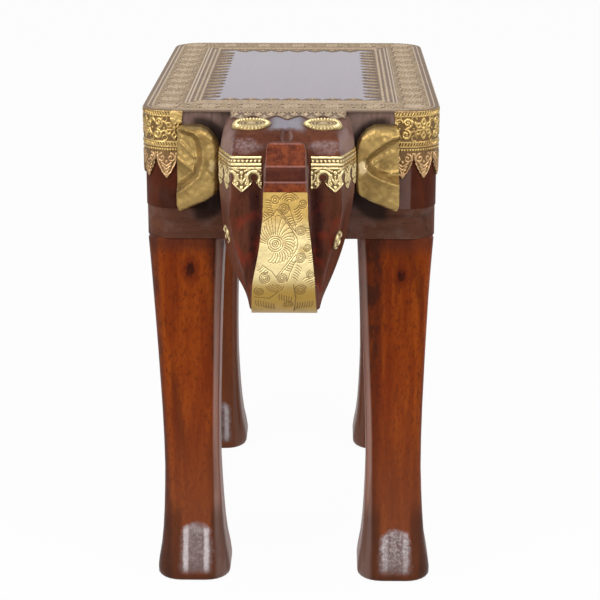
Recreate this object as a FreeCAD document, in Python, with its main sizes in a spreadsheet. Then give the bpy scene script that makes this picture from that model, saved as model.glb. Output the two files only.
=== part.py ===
import FreeCAD, Part
import math
import os
import Sketcher
from FreeCAD import Placement, Rotation, Vector

# Carved elephant stool: a seat plank on a box of boards and posts, four carved legs, and an
# elephant's head on the front with its trunk raised to its forehead. Brass sheet dresses it.
# X runs to the right, Y to the rear and Z up, with the floor at zero.

doc = FreeCAD.newDocument("elephant_stool")
sheet = doc.addObject("Spreadsheet::Sheet", "sizes")

# Driving dimensions in millimetres

driving_sizes = {
    # seat and its brass border
    "seat_width": 240,
    "seat_length": 380,
    "corner_radius": 26,
    "seat_thickness": 24,
    "border_thickness": 1,
    "panel_width": 118,
    "panel_length": 259,
    "side_leaf_length": 14,
    "side_leaf_pitch": 16,
    "end_leaf_length": 8,
    "end_leaf_pitch": 16.5,
    "leaf_gap": 7,
    # box under the seat
    "board_height": 56,
    "board_thickness": 20,
    "post_width": 50,
    "rail_height": 25,
    "rail_width": 64,
    "rail_inset": 0.6,
    "block_width": 22,
    "fit_clearance": 0.1,
    "overrun": 5,
    # legs
    "leg_height": 300,
    "leg_top_width": 64,
    "leg_hip_width": 58.6,
    "leg_hip_height": 250,
    "leg_thigh_width": 54,
    "leg_thigh_height": 200,
    "leg_calf_width": 49.6,
    "leg_calf_height": 150,
    "leg_waist_width": 46.9,
    "leg_waist_height": 97,
    "leg_ankle_width": 49.9,
    "leg_ankle_height": 58,
    "leg_instep_width": 55.8,
    "leg_instep_height": 28,
    "foot_width": 62.5,
    "foot_toe": 12,
    "instep_toe": 6.5,
    "ankle_toe": 1.5,
    "leg_top_radius": 17,
    "leg_waist_radius": 14,
    "foot_radius": 17,
    "sole_chamfer": 3,
    "dowel_diameter": 20,
    "dowel_in_leg": 45,
    "dowel_in_post": 30,
    # side bands
    "band_thickness": 2,
    "band_height": 33,
    "band_front_reach": 32.5,
    "pendant_drop": 22,
    "pendant_pitch": 18.6,
    "left_pendant_phase": 5.6,
    "right_pendant_phase": 13.9,
    # head
    "head_offset": -1.6,
    "head_width_share": 0.445,
    "head_reach": 77,
    "head_height": 143,
    "head_cheek_height": 90,
    "head_cheek_depth": 45,
    "face_width_share": 0.8,
    "shoulder_radius": 7,
    "brow_radius": 18,
    "crown_fall": 3.7,
    "valley_radius": 9,
    "valley_length": 30,
    "screw_diameter": 6,
    "screw_length": 70,
    "screw_head_diameter": 12,
    "screw_head_height": 4,
    "screw_spacing": 46,
    # trunk
    "trunk_reach": 112,
    "trunk_turn_radius": 38,
    "trunk_lean_radius": 244,
    "trunk_neck_height": 362,
    "trunk_tip_height": 396.5,
    "trunk_foot_width": 51,
    "trunk_neck_width": 33.4,
    "trunk_tip_width": 30,
    "tip_corner_radius": 6,
    "tip_lean": 14,
    "tip_groove_depth": 1.6,
    "tip_groove_width": 3,
    "tip_first_groove_height": 380,
    "tip_second_groove_height": 369,
    "loop_thickness": 20,
    "loop_bottom_radius": 9,
    "loop_top_radius": 4.5,
    "loop_top_height": 350,
    "strip_thickness": 1,
    "strip_turn_angle": 80,
    # ears
    "ear_head_gap": 2.5,
    "ear_height": 70,
    "ear_bottom_height": 326,
    "ear_post_inset_share": 0.123,
    "ear_post_thickness": 15,
    "ear_head_thickness": 30,
    "ear_undercut": 13,
    "ear_dish_radius": 28,
    "ear_dish_opening": 22,
    "ear_skin": 1,
    # brass on the head
    "fringe_width_share": 0.876,
    "fringe_length": 29,
    "fringe_leaf_length": 12,
    "fringe_pitch": 18.4,
    "fringe_gap": 11,
    "fringe_clearance": 2.3,
    "disc_radius": 15.5,
    "disc_thickness": 2.2,
    "disc_rim": 3,
    "disc_spacing_share": 0.571,
    "disc_reach": 48.5,
    "rosette_radius": 7.5,
    "rosette_thickness": 2.4,
    "rosette_height": 319,
    "rosette_reach": 60,
    "rosette_clearance": 0.2,
    "brow_band_thickness": 1.2,
    "brow_band_top": 384,
    "brow_band_bottom": 356,
    "brow_drop_length": 17,
    "brow_drop_pitch": 20,
    "brow_first_drop": 18,
    "keyhole_radius": 2.6,
    # tail
    "tail_reach": 14,
    "tail_width": 13,
    "tail_tuft_width": 20,
    "tail_root_height": 378,
    "tail_length": 92,
}
for row, (name, number) in enumerate(driving_sizes.items(), start=1):
    sheet.set(f"A{row}", name)
    sheet.set(f"B{row}", str(number))
    sheet.setAlias(f"B{row}", name)
doc.recompute()


class Sheet:
    """Read a driving dimension from the spreadsheet by its alias."""

    def __getattr__(self, alias):
        return float(sheet.get(alias))


mm = Sheet()

# Levels and outlines which several pieces share, as expressions on the sheet

rail_bottom = "sizes.leg_height"
board_bottom = "(sizes.leg_height + sizes.rail_height)"
seat_bottom = "(sizes.leg_height + sizes.rail_height + sizes.board_height)"
seat_top = "(sizes.leg_height + sizes.rail_height + sizes.board_height + sizes.seat_thickness)"
wood_width = "(sizes.seat_width - 2 * sizes.band_thickness)"
wood_length = "(sizes.seat_length - 2 * sizes.band_thickness)"
wood_radius = "(sizes.corner_radius - sizes.band_thickness)"
rail_outer_width = "(sizes.seat_width - 2 * sizes.band_thickness - 2 * sizes.rail_inset)"
rail_outer_length = "(sizes.seat_length - 2 * sizes.band_thickness - 2 * sizes.rail_inset)"
rail_radius = "(sizes.corner_radius - sizes.band_thickness - sizes.rail_inset)"
band_front_edge = f"({wood_width} / 2 - sizes.band_front_reach)"
head_width = f"({wood_width} * sizes.head_width_share)"
face_width = f"({head_width} * sizes.face_width_share)"
fringe_width = f"({head_width} * sizes.fringe_width_share)"
disc_spacing = f"({head_width} * sizes.disc_spacing_share)"
leg_across = f"(({rail_outer_width} - sizes.leg_top_width) / 2)"
leg_along = f"(({rail_outer_length} - sizes.leg_top_width) / 2)"
hole_diameter = "(sizes.dowel_diameter + 2 * sizes.fit_clearance)"

# The head reaches further forward than the tail does behind, so that the whole part is moved
# back by half the difference to bring its middle over the origin.
middle_shift = "((sizes.trunk_reach + sizes.strip_thickness - sizes.tail_reach) / 2)"

finished_parts = []


def value(expression):
    """Work out an expression on the sheet as a plain number."""
    return float(sheet.evalExpression(expression))


def finish_part(piece, label, across="0", along="0", height="0", turn=None):
    """Name a sub-part and put it in its place, with the place bound to the sheet."""
    piece.Label = label
    if turn is not None:
        piece.Placement = Placement(Vector(0, 0, 0), turn)
    piece.setExpression("Placement.Base.x", across)
    piece.setExpression("Placement.Base.y", f"{along} + {middle_shift}")
    piece.setExpression("Placement.Base.z", height)
    finished_parts.append(piece)
    return piece


def finish_shape(shape, label):
    """Keep a shape made with Part's functions as a sub-part in the seat's frame."""
    piece = doc.addObject("Part::Feature", label)
    piece.Shape = shape
    return finish_part(piece, label)


# Sketch helpers


quarter_turn = 90


def origin_plane(body, role):
    for feature in body.Origin.OriginFeatures:
        if feature.Role == role:
            return feature
    raise ValueError(role)


def new_sketch(body, name, role="XY_Plane", offset=None):
    """Attach a sketch to one of its body's origin planes, moved along its normal by offset."""
    sketch = body.newObject("Sketcher::SketchObject", name)
    sketch.AttachmentSupport = [(origin_plane(body, role), "")]
    sketch.MapMode = "FlatFace"
    if offset is not None:
        sketch.setExpression("AttachmentOffset.Base.z", offset)
    return sketch


def bind(sketch, constraint, expression):
    """Add a dimension to a sketch and bind it to the sheet."""
    index = sketch.addConstraint(constraint)
    sketch.setExpression(f"Constraints[{index}]", expression)


def add_constraints(sketch, rows):
    for row in rows:
        sketch.addConstraint(Sketcher.Constraint(*row))


def rounded_rectangle(sketch, width, depth, radius):
    """Draw a rectangle with round corners about the sketch's origin."""
    half_w = value(width) / 2
    half_d = value(depth) / 2
    r = value(radius)
    z = Vector(0, 0, 1)
    first = sketch.GeometryCount
    corners = (
        (half_w - r, r - half_d, 3 * quarter_turn),
        (half_w - r, half_d - r, 0),
        (r - half_w, half_d - r, quarter_turn),
        (r - half_w, r - half_d, 2 * quarter_turn),
    )
    ends = (
        (Vector(r - half_w, -half_d, 0), Vector(half_w - r, -half_d, 0)),
        (Vector(half_w, r - half_d, 0), Vector(half_w, half_d - r, 0)),
        (Vector(half_w - r, half_d, 0), Vector(r - half_w, half_d, 0)),
        (Vector(-half_w, half_d - r, 0), Vector(-half_w, r - half_d, 0)),
    )
    for start, end in ends:
        sketch.addGeometry(Part.LineSegment(start, end), False)
    for x, y, angle in corners:
        circle = Part.Circle(Vector(x, y, 0), z, r)
        turn = math.radians(angle)
        sketch.addGeometry(Part.ArcOfCircle(circle, turn, turn + math.pi / 2), False)
    for side in range(4):
        line = first + side
        arc = first + 4 + side
        following = first + (side + 1) % 4
        add_constraints(sketch, [("Tangent", line, 2, arc, 1), ("Tangent", arc, 2, following, 1)])
    add_constraints(sketch, [
        ("Horizontal", first),
        ("Vertical", first + 1),
        ("Horizontal", first + 2),
        ("Vertical", first + 3),
        ("Equal", first + 4, first + 5),
        ("Equal", first + 5, first + 6),
        ("Equal", first + 6, first + 7),
        ("Symmetric", first, 1, first + 2, 1, -1, 1),
    ])
    bind(sketch, Sketcher.Constraint("Radius", first + 4, r), radius)
    bind(sketch, Sketcher.Constraint("DistanceX", first + 3, 1, first + 1, 1, 2 * half_w), width)
    bind(sketch, Sketcher.Constraint("DistanceY", first, 1, first + 2, 1, 2 * half_d), depth)


def rectangle(sketch, left, bottom, width, depth):
    """Draw a rectangle whose lower left corner and sides are bound to the sheet."""
    x0 = value(left)
    y0 = value(bottom)
    x1 = x0 + value(width)
    y1 = y0 + value(depth)
    points = [Vector(x0, y0, 0), Vector(x1, y0, 0), Vector(x1, y1, 0), Vector(x0, y1, 0)]
    first = sketch.GeometryCount
    for corner in range(4):
        sketch.addGeometry(Part.LineSegment(points[corner], points[(corner + 1) % 4]), False)
    for corner in range(4):
        following = first + (corner + 1) % 4
        add_constraints(sketch, [("Coincident", first + corner, 2, following, 1)])
    add_constraints(sketch, [
        ("Horizontal", first),
        ("Vertical", first + 1),
        ("Horizontal", first + 2),
        ("Vertical", first + 3),
    ])
    bind(sketch, Sketcher.Constraint("DistanceX", -1, 1, first, 1, x0), left)
    bind(sketch, Sketcher.Constraint("DistanceY", -1, 1, first, 1, y0), bottom)
    bind(sketch, Sketcher.Constraint("DistanceX", first, 1, first, 2, x1 - x0), width)
    bind(sketch, Sketcher.Constraint("DistanceY", first + 1, 1, first + 1, 2, y1 - y0), depth)


def circle_in(sketch, across, along, diameter):
    """Draw a circle whose centre and diameter are bound to the sheet."""
    centre = Vector(value(across), value(along), 0)
    ring = sketch.addGeometry(Part.Circle(centre, Vector(0, 0, 1), value(diameter) / 2), False)
    bind(sketch, Sketcher.Constraint("DistanceX", -1, 1, ring, 3, centre.x), across)
    bind(sketch, Sketcher.Constraint("DistanceY", -1, 1, ring, 3, centre.y), along)
    bind(sketch, Sketcher.Constraint("Diameter", ring, value(diameter)), diameter)


def triangle_in(sketch, tip_x, tip_y, base_x, base_y, upright):
    """Draw an isosceles notch. Its base lies along Y where upright is true, else along X.

    tip_x and tip_y place the tip, base_x and base_y the distance to the base and its half width.
    """
    tip = Vector(value(tip_x), value(tip_y), 0)
    reach = value(base_x)
    half = value(base_y)
    if upright:
        corners = [Vector(tip.x + reach, tip.y - half, 0), Vector(tip.x + reach, tip.y + half, 0)]
    else:
        corners = [Vector(tip.x - half, tip.y + reach, 0), Vector(tip.x + half, tip.y + reach, 0)]
    points = [tip] + corners
    first = sketch.GeometryCount
    for corner in range(3):
        sketch.addGeometry(Part.LineSegment(points[corner], points[(corner + 1) % 3]), False)
    for corner in range(3):
        following = first + (corner + 1) % 3
        add_constraints(sketch, [("Coincident", first + corner, 2, following, 1)])
    bind(sketch, Sketcher.Constraint("DistanceX", -1, 1, first, 1, tip.x), tip_x)
    bind(sketch, Sketcher.Constraint("DistanceY", -1, 1, first, 1, tip.y), tip_y)
    across = "DistanceY" if upright else "DistanceX"
    along = "DistanceX" if upright else "DistanceY"
    add_constraints(sketch, [("Vertical" if upright else "Horizontal", first + 1)])
    bind(sketch, Sketcher.Constraint(along, first, 1, first, 2, reach), base_x)
    bind(sketch, Sketcher.Constraint(across, first, 2, first, 1, half), base_y)
    bind(sketch, Sketcher.Constraint(across, first + 1, 1, first + 1, 2, 2 * half),
         f"2 * {base_y}")


def pad(body, name, sketch, length):
    feature = body.newObject("PartDesign::Pad", name)
    feature.Profile = sketch
    feature.setExpression("Length", length)
    return feature


def pocket_up(body, name, sketch, depth):
    """Cut upwards from a sketch, and make sure that it took something away."""
    doc.recompute()
    before = body.Shape.Volume
    feature = body.newObject("PartDesign::Pocket", name)
    feature.Profile = sketch
    feature.setExpression("Length", depth)
    feature.Reversed = True
    doc.recompute()
    if body.Shape.Volume >= before:
        raise RuntimeError(f"{name} cut nothing")
    return feature


# Seat plank and its brass border


def make_seat_board():
    body = doc.addObject("PartDesign::Body", "seat_board_body")
    outline = new_sketch(body, "plank_outline")
    rounded_rectangle(outline, wood_width, wood_length, wood_radius)
    pad(body, "plank", outline, "sizes.seat_thickness")
    return finish_part(body, "seat_board", height=seat_bottom)


def leaf_gaps(body, sketch, role, run, pitch):
    """Repeat a leaf gap along one side of the border, evenly about the middle."""
    feature = body.newObject("PartDesign::Pocket", f"{sketch.Name}_cut")
    feature.Profile = sketch
    feature.setExpression("Length", "sizes.border_thickness")
    feature.Reversed = True
    doc.recompute()
    pattern = body.newObject("PartDesign::LinearPattern", f"{sketch.Name}_row")
    pattern.Originals = [feature]
    pattern.Direction = (origin_plane(body, role), [""])
    pattern.setExpression("Length", run)
    pattern.setExpression("Occurrences", f"floor({run} / {pitch}) + 1")
    body.Tip = pattern
    doc.recompute()


def make_seat_border():
    body = doc.addObject("PartDesign::Body", "seat_border_body")
    outline = new_sketch(body, "border_outline")
    rounded_rectangle(outline, "sizes.seat_width", "sizes.seat_length", "sizes.corner_radius")
    rectangle(outline, "-sizes.panel_width / 2", "-sizes.panel_length / 2",
              "sizes.panel_width", "sizes.panel_length")
    pad(body, "border_sheet", outline, "sizes.border_thickness")
    side_run = "(sizes.panel_length - sizes.side_leaf_pitch)"
    end_run = "(sizes.panel_width - sizes.end_leaf_pitch)"
    for hand, sign in (("right", ""), ("left", "-")):
        gap = new_sketch(body, f"{hand}_leaf_gap")
        triangle_in(gap, f"{sign}(sizes.panel_width / 2 + sizes.side_leaf_length)",
                    f"-{side_run} / 2",
                    f"{'-' if sign == '' else ''}(sizes.side_leaf_length + sizes.overrun)",
                    "sizes.leaf_gap / 2", True)
        leaf_gaps(body, gap, "Y_Axis", side_run, "sizes.side_leaf_pitch")
    for end, sign in (("rear", ""), ("front", "-")):
        gap = new_sketch(body, f"{end}_leaf_gap")
        triangle_in(gap, f"-{end_run} / 2",
                    f"{sign}(sizes.panel_length / 2 + sizes.end_leaf_length)",
                    f"{'-' if sign == '' else ''}(sizes.end_leaf_length + sizes.overrun)",
                    "sizes.leaf_gap / 2", False)
        leaf_gaps(body, gap, "X_Axis", end_run, "sizes.end_leaf_pitch")
    return finish_part(body, "seat_border", height=seat_top)


# Box of boards, posts and rails


def make_posts():
    """Four corner posts, each turned a quarter from the last, with a round outer corner."""
    places = (
        ("front_left_post", "-", "-", 2 * quarter_turn),
        ("front_right_post", "", "-", 3 * quarter_turn),
        ("rear_right_post", "", "", 0),
        ("rear_left_post", "-", "", quarter_turn),
    )
    for label, side, end, turn in places:
        body = doc.addObject("PartDesign::Body", f"{label}_body")
        outline = new_sketch(body, "post_outline")
        rectangle(outline, "-sizes.post_width", "-sizes.post_width",
                  "sizes.post_width", "sizes.post_width")
        post = pad(body, "post", outline, "sizes.board_height")
        doc.recompute()
        corner = next(
            f"Edge{number}" for number, edge in enumerate(post.Shape.Edges, start=1)
            if all(abs(vertex.X) + abs(vertex.Y) < mm.fit_clearance for vertex in edge.Vertexes)
        )
        rounding = body.newObject("PartDesign::Fillet", "round_corner")
        rounding.Base = (post, [corner])
        rounding.setExpression("Radius", wood_radius)
        doc.recompute()
        mouth = new_sketch(body, "dowel_mouth")
        inset_x = f"({wood_width} / 2 - {leg_across})"
        circle_in(mouth, f"-{inset_x}", f"-{inset_x}", hole_diameter)
        pocket_up(body, "dowel_hole", mouth, "sizes.dowel_in_post")
        finish_part(body, label, f"{side}{wood_width} / 2", f"{end}{wood_length} / 2",
                    board_bottom, Rotation(Vector(0, 0, 1), turn))


def make_boards():
    """Boards between the posts. The front one has holes for the screws that hold the head."""
    long_side = f"({wood_length} - 2 * sizes.post_width)"
    short_side = f"({wood_width} - 2 * sizes.post_width)"
    for label, side in (("left_board", "-"), ("right_board", "")):
        body = doc.addObject("PartDesign::Body", f"{label}_body")
        outline = new_sketch(body, "board_outline")
        rectangle(outline, "-sizes.board_thickness / 2", f"-{long_side} / 2",
                  "sizes.board_thickness", long_side)
        pad(body, "board", outline, "sizes.board_height")
        middle = f"({wood_width} - sizes.board_thickness) / 2"
        finish_part(body, label, f"{side}{middle}", height=board_bottom)
    for label, end in (("front_board", "-"), ("rear_board", "")):
        body = doc.addObject("PartDesign::Body", f"{label}_body")
        outline = new_sketch(body, "board_outline")
        rectangle(outline, f"-{short_side} / 2", "-sizes.board_thickness / 2",
                  short_side, "sizes.board_thickness")
        pad(body, "board", outline, "sizes.board_height")
        if label == "front_board":
            mouths = new_sketch(body, "screw_mouths", "XZ_Plane", "-sizes.board_thickness / 2")
            for hand in ("-", ""):
                circle_in(mouths, f"sizes.head_offset {'-' if hand else '+'} "
                          "sizes.screw_spacing / 2", "sizes.board_height / 2",
                          "sizes.screw_diameter + 2 * sizes.fit_clearance")
            doc.recompute()
            before = body.Shape.Volume
            holes = body.newObject("PartDesign::Pocket", "screw_holes")
            holes.Profile = mouths
            holes.Midplane = True
            holes.setExpression("Length", "2 * sizes.board_thickness + 2 * sizes.overrun")
            doc.recompute()
            if body.Shape.Volume >= before:
                raise RuntimeError("the screw holes cut nothing")
        middle = f"({wood_length} - sizes.board_thickness) / 2"
        finish_part(body, label, along=f"{end}{middle}", height=board_bottom)


def make_rails():
    """Flat rails under the box. The end rails run full width, with round outer corners."""
    hole_inset = "(sizes.leg_top_width / 2)"
    for label, turn, end in (("front_rail", 2 * quarter_turn, "-"), ("rear_rail", 0, "")):
        body = doc.addObject("PartDesign::Body", f"{label}_body")
        outline = new_sketch(body, "rail_outline")
        rectangle(outline, f"-{rail_outer_width} / 2", "-sizes.rail_width",
                  rail_outer_width, "sizes.rail_width")
        rail = pad(body, "rail", outline, "sizes.rail_height")
        doc.recompute()
        corners = [
            f"Edge{number}" for number, edge in enumerate(rail.Shape.Edges, start=1)
            if all(abs(vertex.Y) < mm.fit_clearance for vertex in edge.Vertexes)
            and edge.Vertexes[0].Z != edge.Vertexes[-1].Z
        ]
        rounding = body.newObject("PartDesign::Fillet", "round_corners")
        rounding.Base = (rail, corners)
        rounding.setExpression("Radius", rail_radius)
        doc.recompute()
        mouths = new_sketch(body, "dowel_mouths")
        for hand in ("-", ""):
            circle_in(mouths, f"{hand}{leg_across}", f"-{hole_inset}", hole_diameter)
        pocket_up(body, "dowel_holes", mouths, "sizes.rail_height")
        finish_part(body, label, along=f"{end}{rail_outer_length} / 2", height=rail_bottom,
                    turn=Rotation(Vector(0, 0, 1), turn))
    run = f"({rail_outer_length} - 2 * sizes.rail_width)"
    for label, side in (("left_rail", "-"), ("right_rail", "")):
        body = doc.addObject("PartDesign::Body", f"{label}_body")
        outline = new_sketch(body, "rail_outline")
        rectangle(outline, "-sizes.rail_width / 2", f"-{run} / 2", "sizes.rail_width", run)
        pad(body, "rail", outline, "sizes.rail_height")
        middle = f"({rail_outer_width} - sizes.rail_width) / 2"
        finish_part(body, label, f"{side}{middle}", height=rail_bottom)


def make_corner_blocks():
    """Glue blocks inside the box, one against each post under the seat."""
    inset_x = f"({wood_width} / 2 - sizes.board_thickness - sizes.block_width)"
    inset_y = f"({wood_length} / 2 - sizes.post_width - sizes.block_width)"
    blocks = []
    for side in ("-", ""):
        for end in ("-", ""):
            block = doc.addObject("Part::Box", "corner_block")
            block.setExpression("Length", "sizes.block_width")
            block.setExpression("Width", "sizes.block_width")
            block.setExpression("Height", "sizes.board_height")
            across = f"-{inset_x} - sizes.block_width" if side else inset_x
            along = f"-{inset_y} - sizes.block_width" if end else inset_y
            block.setExpression("Placement.Base.x", across)
            block.setExpression("Placement.Base.y", along)
            blocks.append(block)
    group = doc.addObject("Part::Compound", "corner_blocks")
    group.Links = blocks
    return finish_part(group, "corner_blocks", height=board_bottom)


# Legs

corner_flats = 3


def eased_square(sketch, width, radius, toe):
    """Draw a square whose corners are worked off in flats, with every point bound to the sheet.

    The toe is how much further the side at the lowest Y reaches out.
    """
    points = []
    for corner in range(4):
        for flat in range(corner_flats + 1):
            angle = corner * quarter_turn + flat * quarter_turn / corner_flats
            side_x = 1 if corner in (0, 3) else -1
            side_y = 1 if corner in (0, 1) else -1
            reach = "0" if side_y > 0 else toe
            points.append((
                f"{side_x} * ({width} / 2 - {radius}) + {radius} * cos({angle} deg)",
                f"{side_y} * ({width} / 2 - {radius}) - {reach} + {radius} * sin({angle} deg)",
            ))
    count = len(points)
    places = [Vector(value(x), value(y), 0) for x, y in points]
    for index in range(count):
        line = Part.LineSegment(places[index], places[(index + 1) % count])
        sketch.addGeometry(line, False)
    for index in range(count):
        add_constraints(sketch, [("Coincident", index, 2, (index + 1) % count, 1)])
    for index, (x, y) in enumerate(points):
        bind(sketch, Sketcher.Constraint("DistanceX", -1, 1, index, 1, places[index].x), x)
        bind(sketch, Sketcher.Constraint("DistanceY", -1, 1, index, 1, places[index].y), y)


def make_legs():
    """One leg lofted through eased squares, and its four copies under the rails."""
    sections = (
        ("foot", "0 mm", "sizes.foot_width", "sizes.foot_radius", "sizes.foot_toe"),
        ("instep", "sizes.leg_instep_height", "sizes.leg_instep_width", "sizes.foot_radius",
         "sizes.instep_toe"),
        ("ankle", "sizes.leg_ankle_height", "sizes.leg_ankle_width", "sizes.leg_waist_radius",
         "sizes.ankle_toe"),
        ("waist", "sizes.leg_waist_height", "sizes.leg_waist_width", "sizes.leg_waist_radius",
         "0"),
        ("calf", "sizes.leg_calf_height", "sizes.leg_calf_width", "sizes.leg_waist_radius", "0"),
        ("thigh", "sizes.leg_thigh_height", "sizes.leg_thigh_width", "sizes.leg_waist_radius",
         "0"),
        ("hip", "sizes.leg_hip_height", "sizes.leg_hip_width", "sizes.leg_top_radius", "0"),
        ("top", "sizes.leg_height", "sizes.leg_top_width", "sizes.leg_top_radius", "0"),
    )
    # The toe points away from the middle of the stool, so that the rear legs are turned about.
    places = (
        ("front_left_leg", "-", "-", 0),
        ("front_right_leg", "", "-", 0),
        ("rear_left_leg", "-", "", 2 * quarter_turn),
        ("rear_right_leg", "", "", 2 * quarter_turn),
    )
    body = doc.addObject("PartDesign::Body", "leg_body")
    outlines = []
    for name, height, width, radius, toe in sections:
        outline = new_sketch(body, f"{name}_outline", offset=height)
        eased_square(outline, width, radius, toe)
        outlines.append(outline)
    doc.recompute()
    loft = body.newObject("PartDesign::AdditiveLoft", "leg")
    loft.Profile = outlines[-1]
    loft.Sections = outlines[-2::-1]
    loft.Refine = False
    doc.recompute()
    sole = [
        f"Edge{number}" for number, edge in enumerate(loft.Shape.Edges, start=1)
        if edge.CenterOfMass.z < mm.fit_clearance
    ]
    easing = body.newObject("PartDesign::Chamfer", "eased_sole")
    easing.Base = (loft, sole)
    easing.Refine = False
    easing.setExpression("Size", "sizes.sole_chamfer")
    doc.recompute()
    mouth = new_sketch(body, "dowel_mouth", offset="sizes.leg_height")
    dowel_hole = value(hole_diameter) / 2
    ring = mouth.addGeometry(Part.Circle(Vector(0, 0, 0), Vector(0, 0, 1), dowel_hole), False)
    add_constraints(mouth, [("Coincident", ring, 3, -1, 1)])
    bind(mouth, Sketcher.Constraint("Diameter", ring, 2 * dowel_hole), hole_diameter)
    doc.recompute()
    before = body.Shape.Volume
    hole = body.newObject("PartDesign::Pocket", "dowel_hole")
    hole.Profile = mouth
    hole.Refine = False
    hole.setExpression("Length", "sizes.dowel_in_leg")
    doc.recompute()
    if body.Shape.Volume >= before:
        raise RuntimeError("the dowel hole cut nothing")
    for label, side, end, degrees in places:
        leg = doc.addObject("Part::Compound", label)
        leg.Links = [body]
        finish_part(leg, label, f"{side}{leg_across}", f"{end}{leg_along}",
                    turn=Rotation(Vector(0, 0, 1), degrees))


def make_dowels():
    """Turned dowels through the rails, from each leg into the post above it."""
    dowels = []
    for side in ("-", ""):
        for end in ("-", ""):
            dowel = doc.addObject("Part::Cylinder", "leg_dowel")
            dowel.setExpression("Radius", "sizes.dowel_diameter / 2")
            dowel.setExpression("Height", "sizes.dowel_in_leg + sizes.rail_height + "
                                "sizes.dowel_in_post")
            dowel.setExpression("Placement.Base.x", f"{side}{leg_across}")
            dowel.setExpression("Placement.Base.y", f"{end}{leg_along}")
            dowels.append(dowel)
    group = doc.addObject("Part::Compound", "leg_dowels")
    group.Links = dowels
    return finish_part(group, "leg_dowels", height="sizes.leg_height - sizes.dowel_in_leg")


# Helpers for carved forms and sheet brass, in the seat's frame


def wood_front():
    return value(wood_length) / 2


def ahead(across, forward, height):
    """Place a point of the head: across from its middle, forward of the box, above the floor."""
    return Vector(mm.head_offset + across, -wood_front() - forward, height)


def prism(points, push):
    return Part.Face(Part.makePolygon(points + [points[0]])).extrude(push)


def crown_height(forward):
    """Height of the head's sloping top at a distance forward of the box."""
    return value(seat_top) - forward * math.tan(math.radians(mm.crown_fall))


def slab_outline(width, length, radius, height):
    """Closed wire of a rectangle with round corners, flat at a height."""
    x = width / 2
    y = length / 2
    inner_x = x - radius
    inner_y = y - radius
    bend = radius * math.sqrt(2) / 2
    edges = []
    for turn_x, turn_y in ((1, -1), (1, 1), (-1, 1), (-1, -1)):
        along_x = Vector(turn_x * inner_x, turn_y * y, height)
        along_y = Vector(turn_x * x, turn_y * inner_y, height)
        middle = Vector(turn_x * (inner_x + bend), turn_y * (inner_y + bend), height)
        first, last = (along_x, along_y) if turn_x * turn_y < 0 else (along_y, along_x)
        edges.append(Part.Arc(first, middle, last).toShape())
    for corner in range(4):
        start = edges[corner].Vertexes[-1].Point
        end = edges[(corner + 1) % 4].Vertexes[0].Point
        edges.append(Part.makeLine(start, end))
    return Part.Wire(Part.__sortEdges__(edges))


# Side bands: brass wrapped round the corners, with pendants cut along the lower edge

pendant_edge_shares = ((0.0, 1.0), (0.08, 0.66), (0.3, 0.5), (0.62, 0.3), (1.0, 0.0))


def notch(point, outward, pitch, drop, edge_shares, reach):
    """Prism that parts two pendants: its narrow end is a drop above the point."""
    along = Vector(0, 0, 1).cross(outward)
    up = Vector(0, 0, drop)
    left = [point - along * (pitch / 2 * wide) + up * high for wide, high in edge_shares]
    right = [point + along * (pitch / 2 * wide) + up * high for wide, high in edge_shares[1:]]
    low = Vector(0, 0, -mm.overrun)
    below = [right[-1] + low, left[-1] + low]
    points = list(reversed(left)) + right + below
    return prism([corner - outward * reach for corner in points], outward * (2 * reach))


def band_place(distance):
    """Point and outward direction on the right side band, by distance round from its front arc."""
    radius = mm.corner_radius
    straight = mm.seat_length - 2 * radius
    quarter = radius * math.pi / 2
    centre_x = mm.seat_width / 2 - radius
    centre_y = mm.seat_length / 2 - radius
    if distance < 0:
        return Vector(centre_x + distance, -centre_y - radius, 0), Vector(0, -1, 0)
    if distance < quarter:
        turn = distance / radius
        outward = Vector(math.sin(turn), -math.cos(turn), 0)
        return Vector(centre_x, -centre_y, 0) + outward * radius, outward
    if distance < quarter + straight:
        return Vector(centre_x + radius, distance - quarter - centre_y, 0), Vector(1, 0, 0)
    turn = min((distance - quarter - straight) / radius, math.pi / 2)
    outward = Vector(math.cos(turn), math.sin(turn), 0)
    return Vector(centre_x, centre_y, 0) + outward * radius, outward


def make_side_bands():
    lower = value(seat_top) - mm.band_height - mm.pendant_drop
    height = Vector(0, 0, mm.band_height + mm.pendant_drop)
    outer = slab_outline(mm.seat_width, mm.seat_length, mm.corner_radius, lower)
    inner = slab_outline(value(wood_width), value(wood_length), value(wood_radius), lower)
    ring = Part.Face(outer).extrude(height).cut(Part.Face(inner).extrude(height))
    round_run = mm.seat_length - 2 * mm.corner_radius + mm.corner_radius * math.pi
    for label, side, phase in (("side_band_left", -1, mm.left_pendant_phase),
                               ("side_band_right", 1, mm.right_pendant_phase)):
        middle = Part.makeBox(
            value(band_front_edge) + mm.seat_width, mm.seat_length + 2 * mm.overrun,
            height.z + 2 * mm.overrun,
            Vector(-mm.seat_width, -mm.seat_length / 2 - mm.overrun, lower - mm.overrun))
        band = ring.cut(middle)
        notches = []
        distance = phase - 1.5 * mm.pendant_pitch
        while distance < round_run + mm.pendant_pitch:
            point, outward = band_place(distance)
            point.z = lower
            notches.append(notch(point, outward, mm.pendant_pitch, mm.pendant_drop,
                                 pendant_edge_shares, 2 * mm.band_thickness))
            distance += mm.pendant_pitch
        band = band.cut(Part.makeCompound(notches))
        if side < 0:
            band = band.mirror(Vector(0, 0, 0), Vector(1, 0, 0))
        finish_shape(band, label)


# Elephant head with the raised trunk, carved from one block

# Each section is a share of the head's height, half width, face width and reach.
head_section_shares = (
    (0.63, 1.0, 1.0, 1.0),
    (0.503, 0.95, 1.0, 0.987),
    (0.336, 0.867, 0.845, 0.974),
    (0.161, 0.728, 0.714, 0.961),
    (0.0, 0.543, 0.643, 0.961),
    (-0.06, 0.49, 0.6, 0.961),
)
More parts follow.
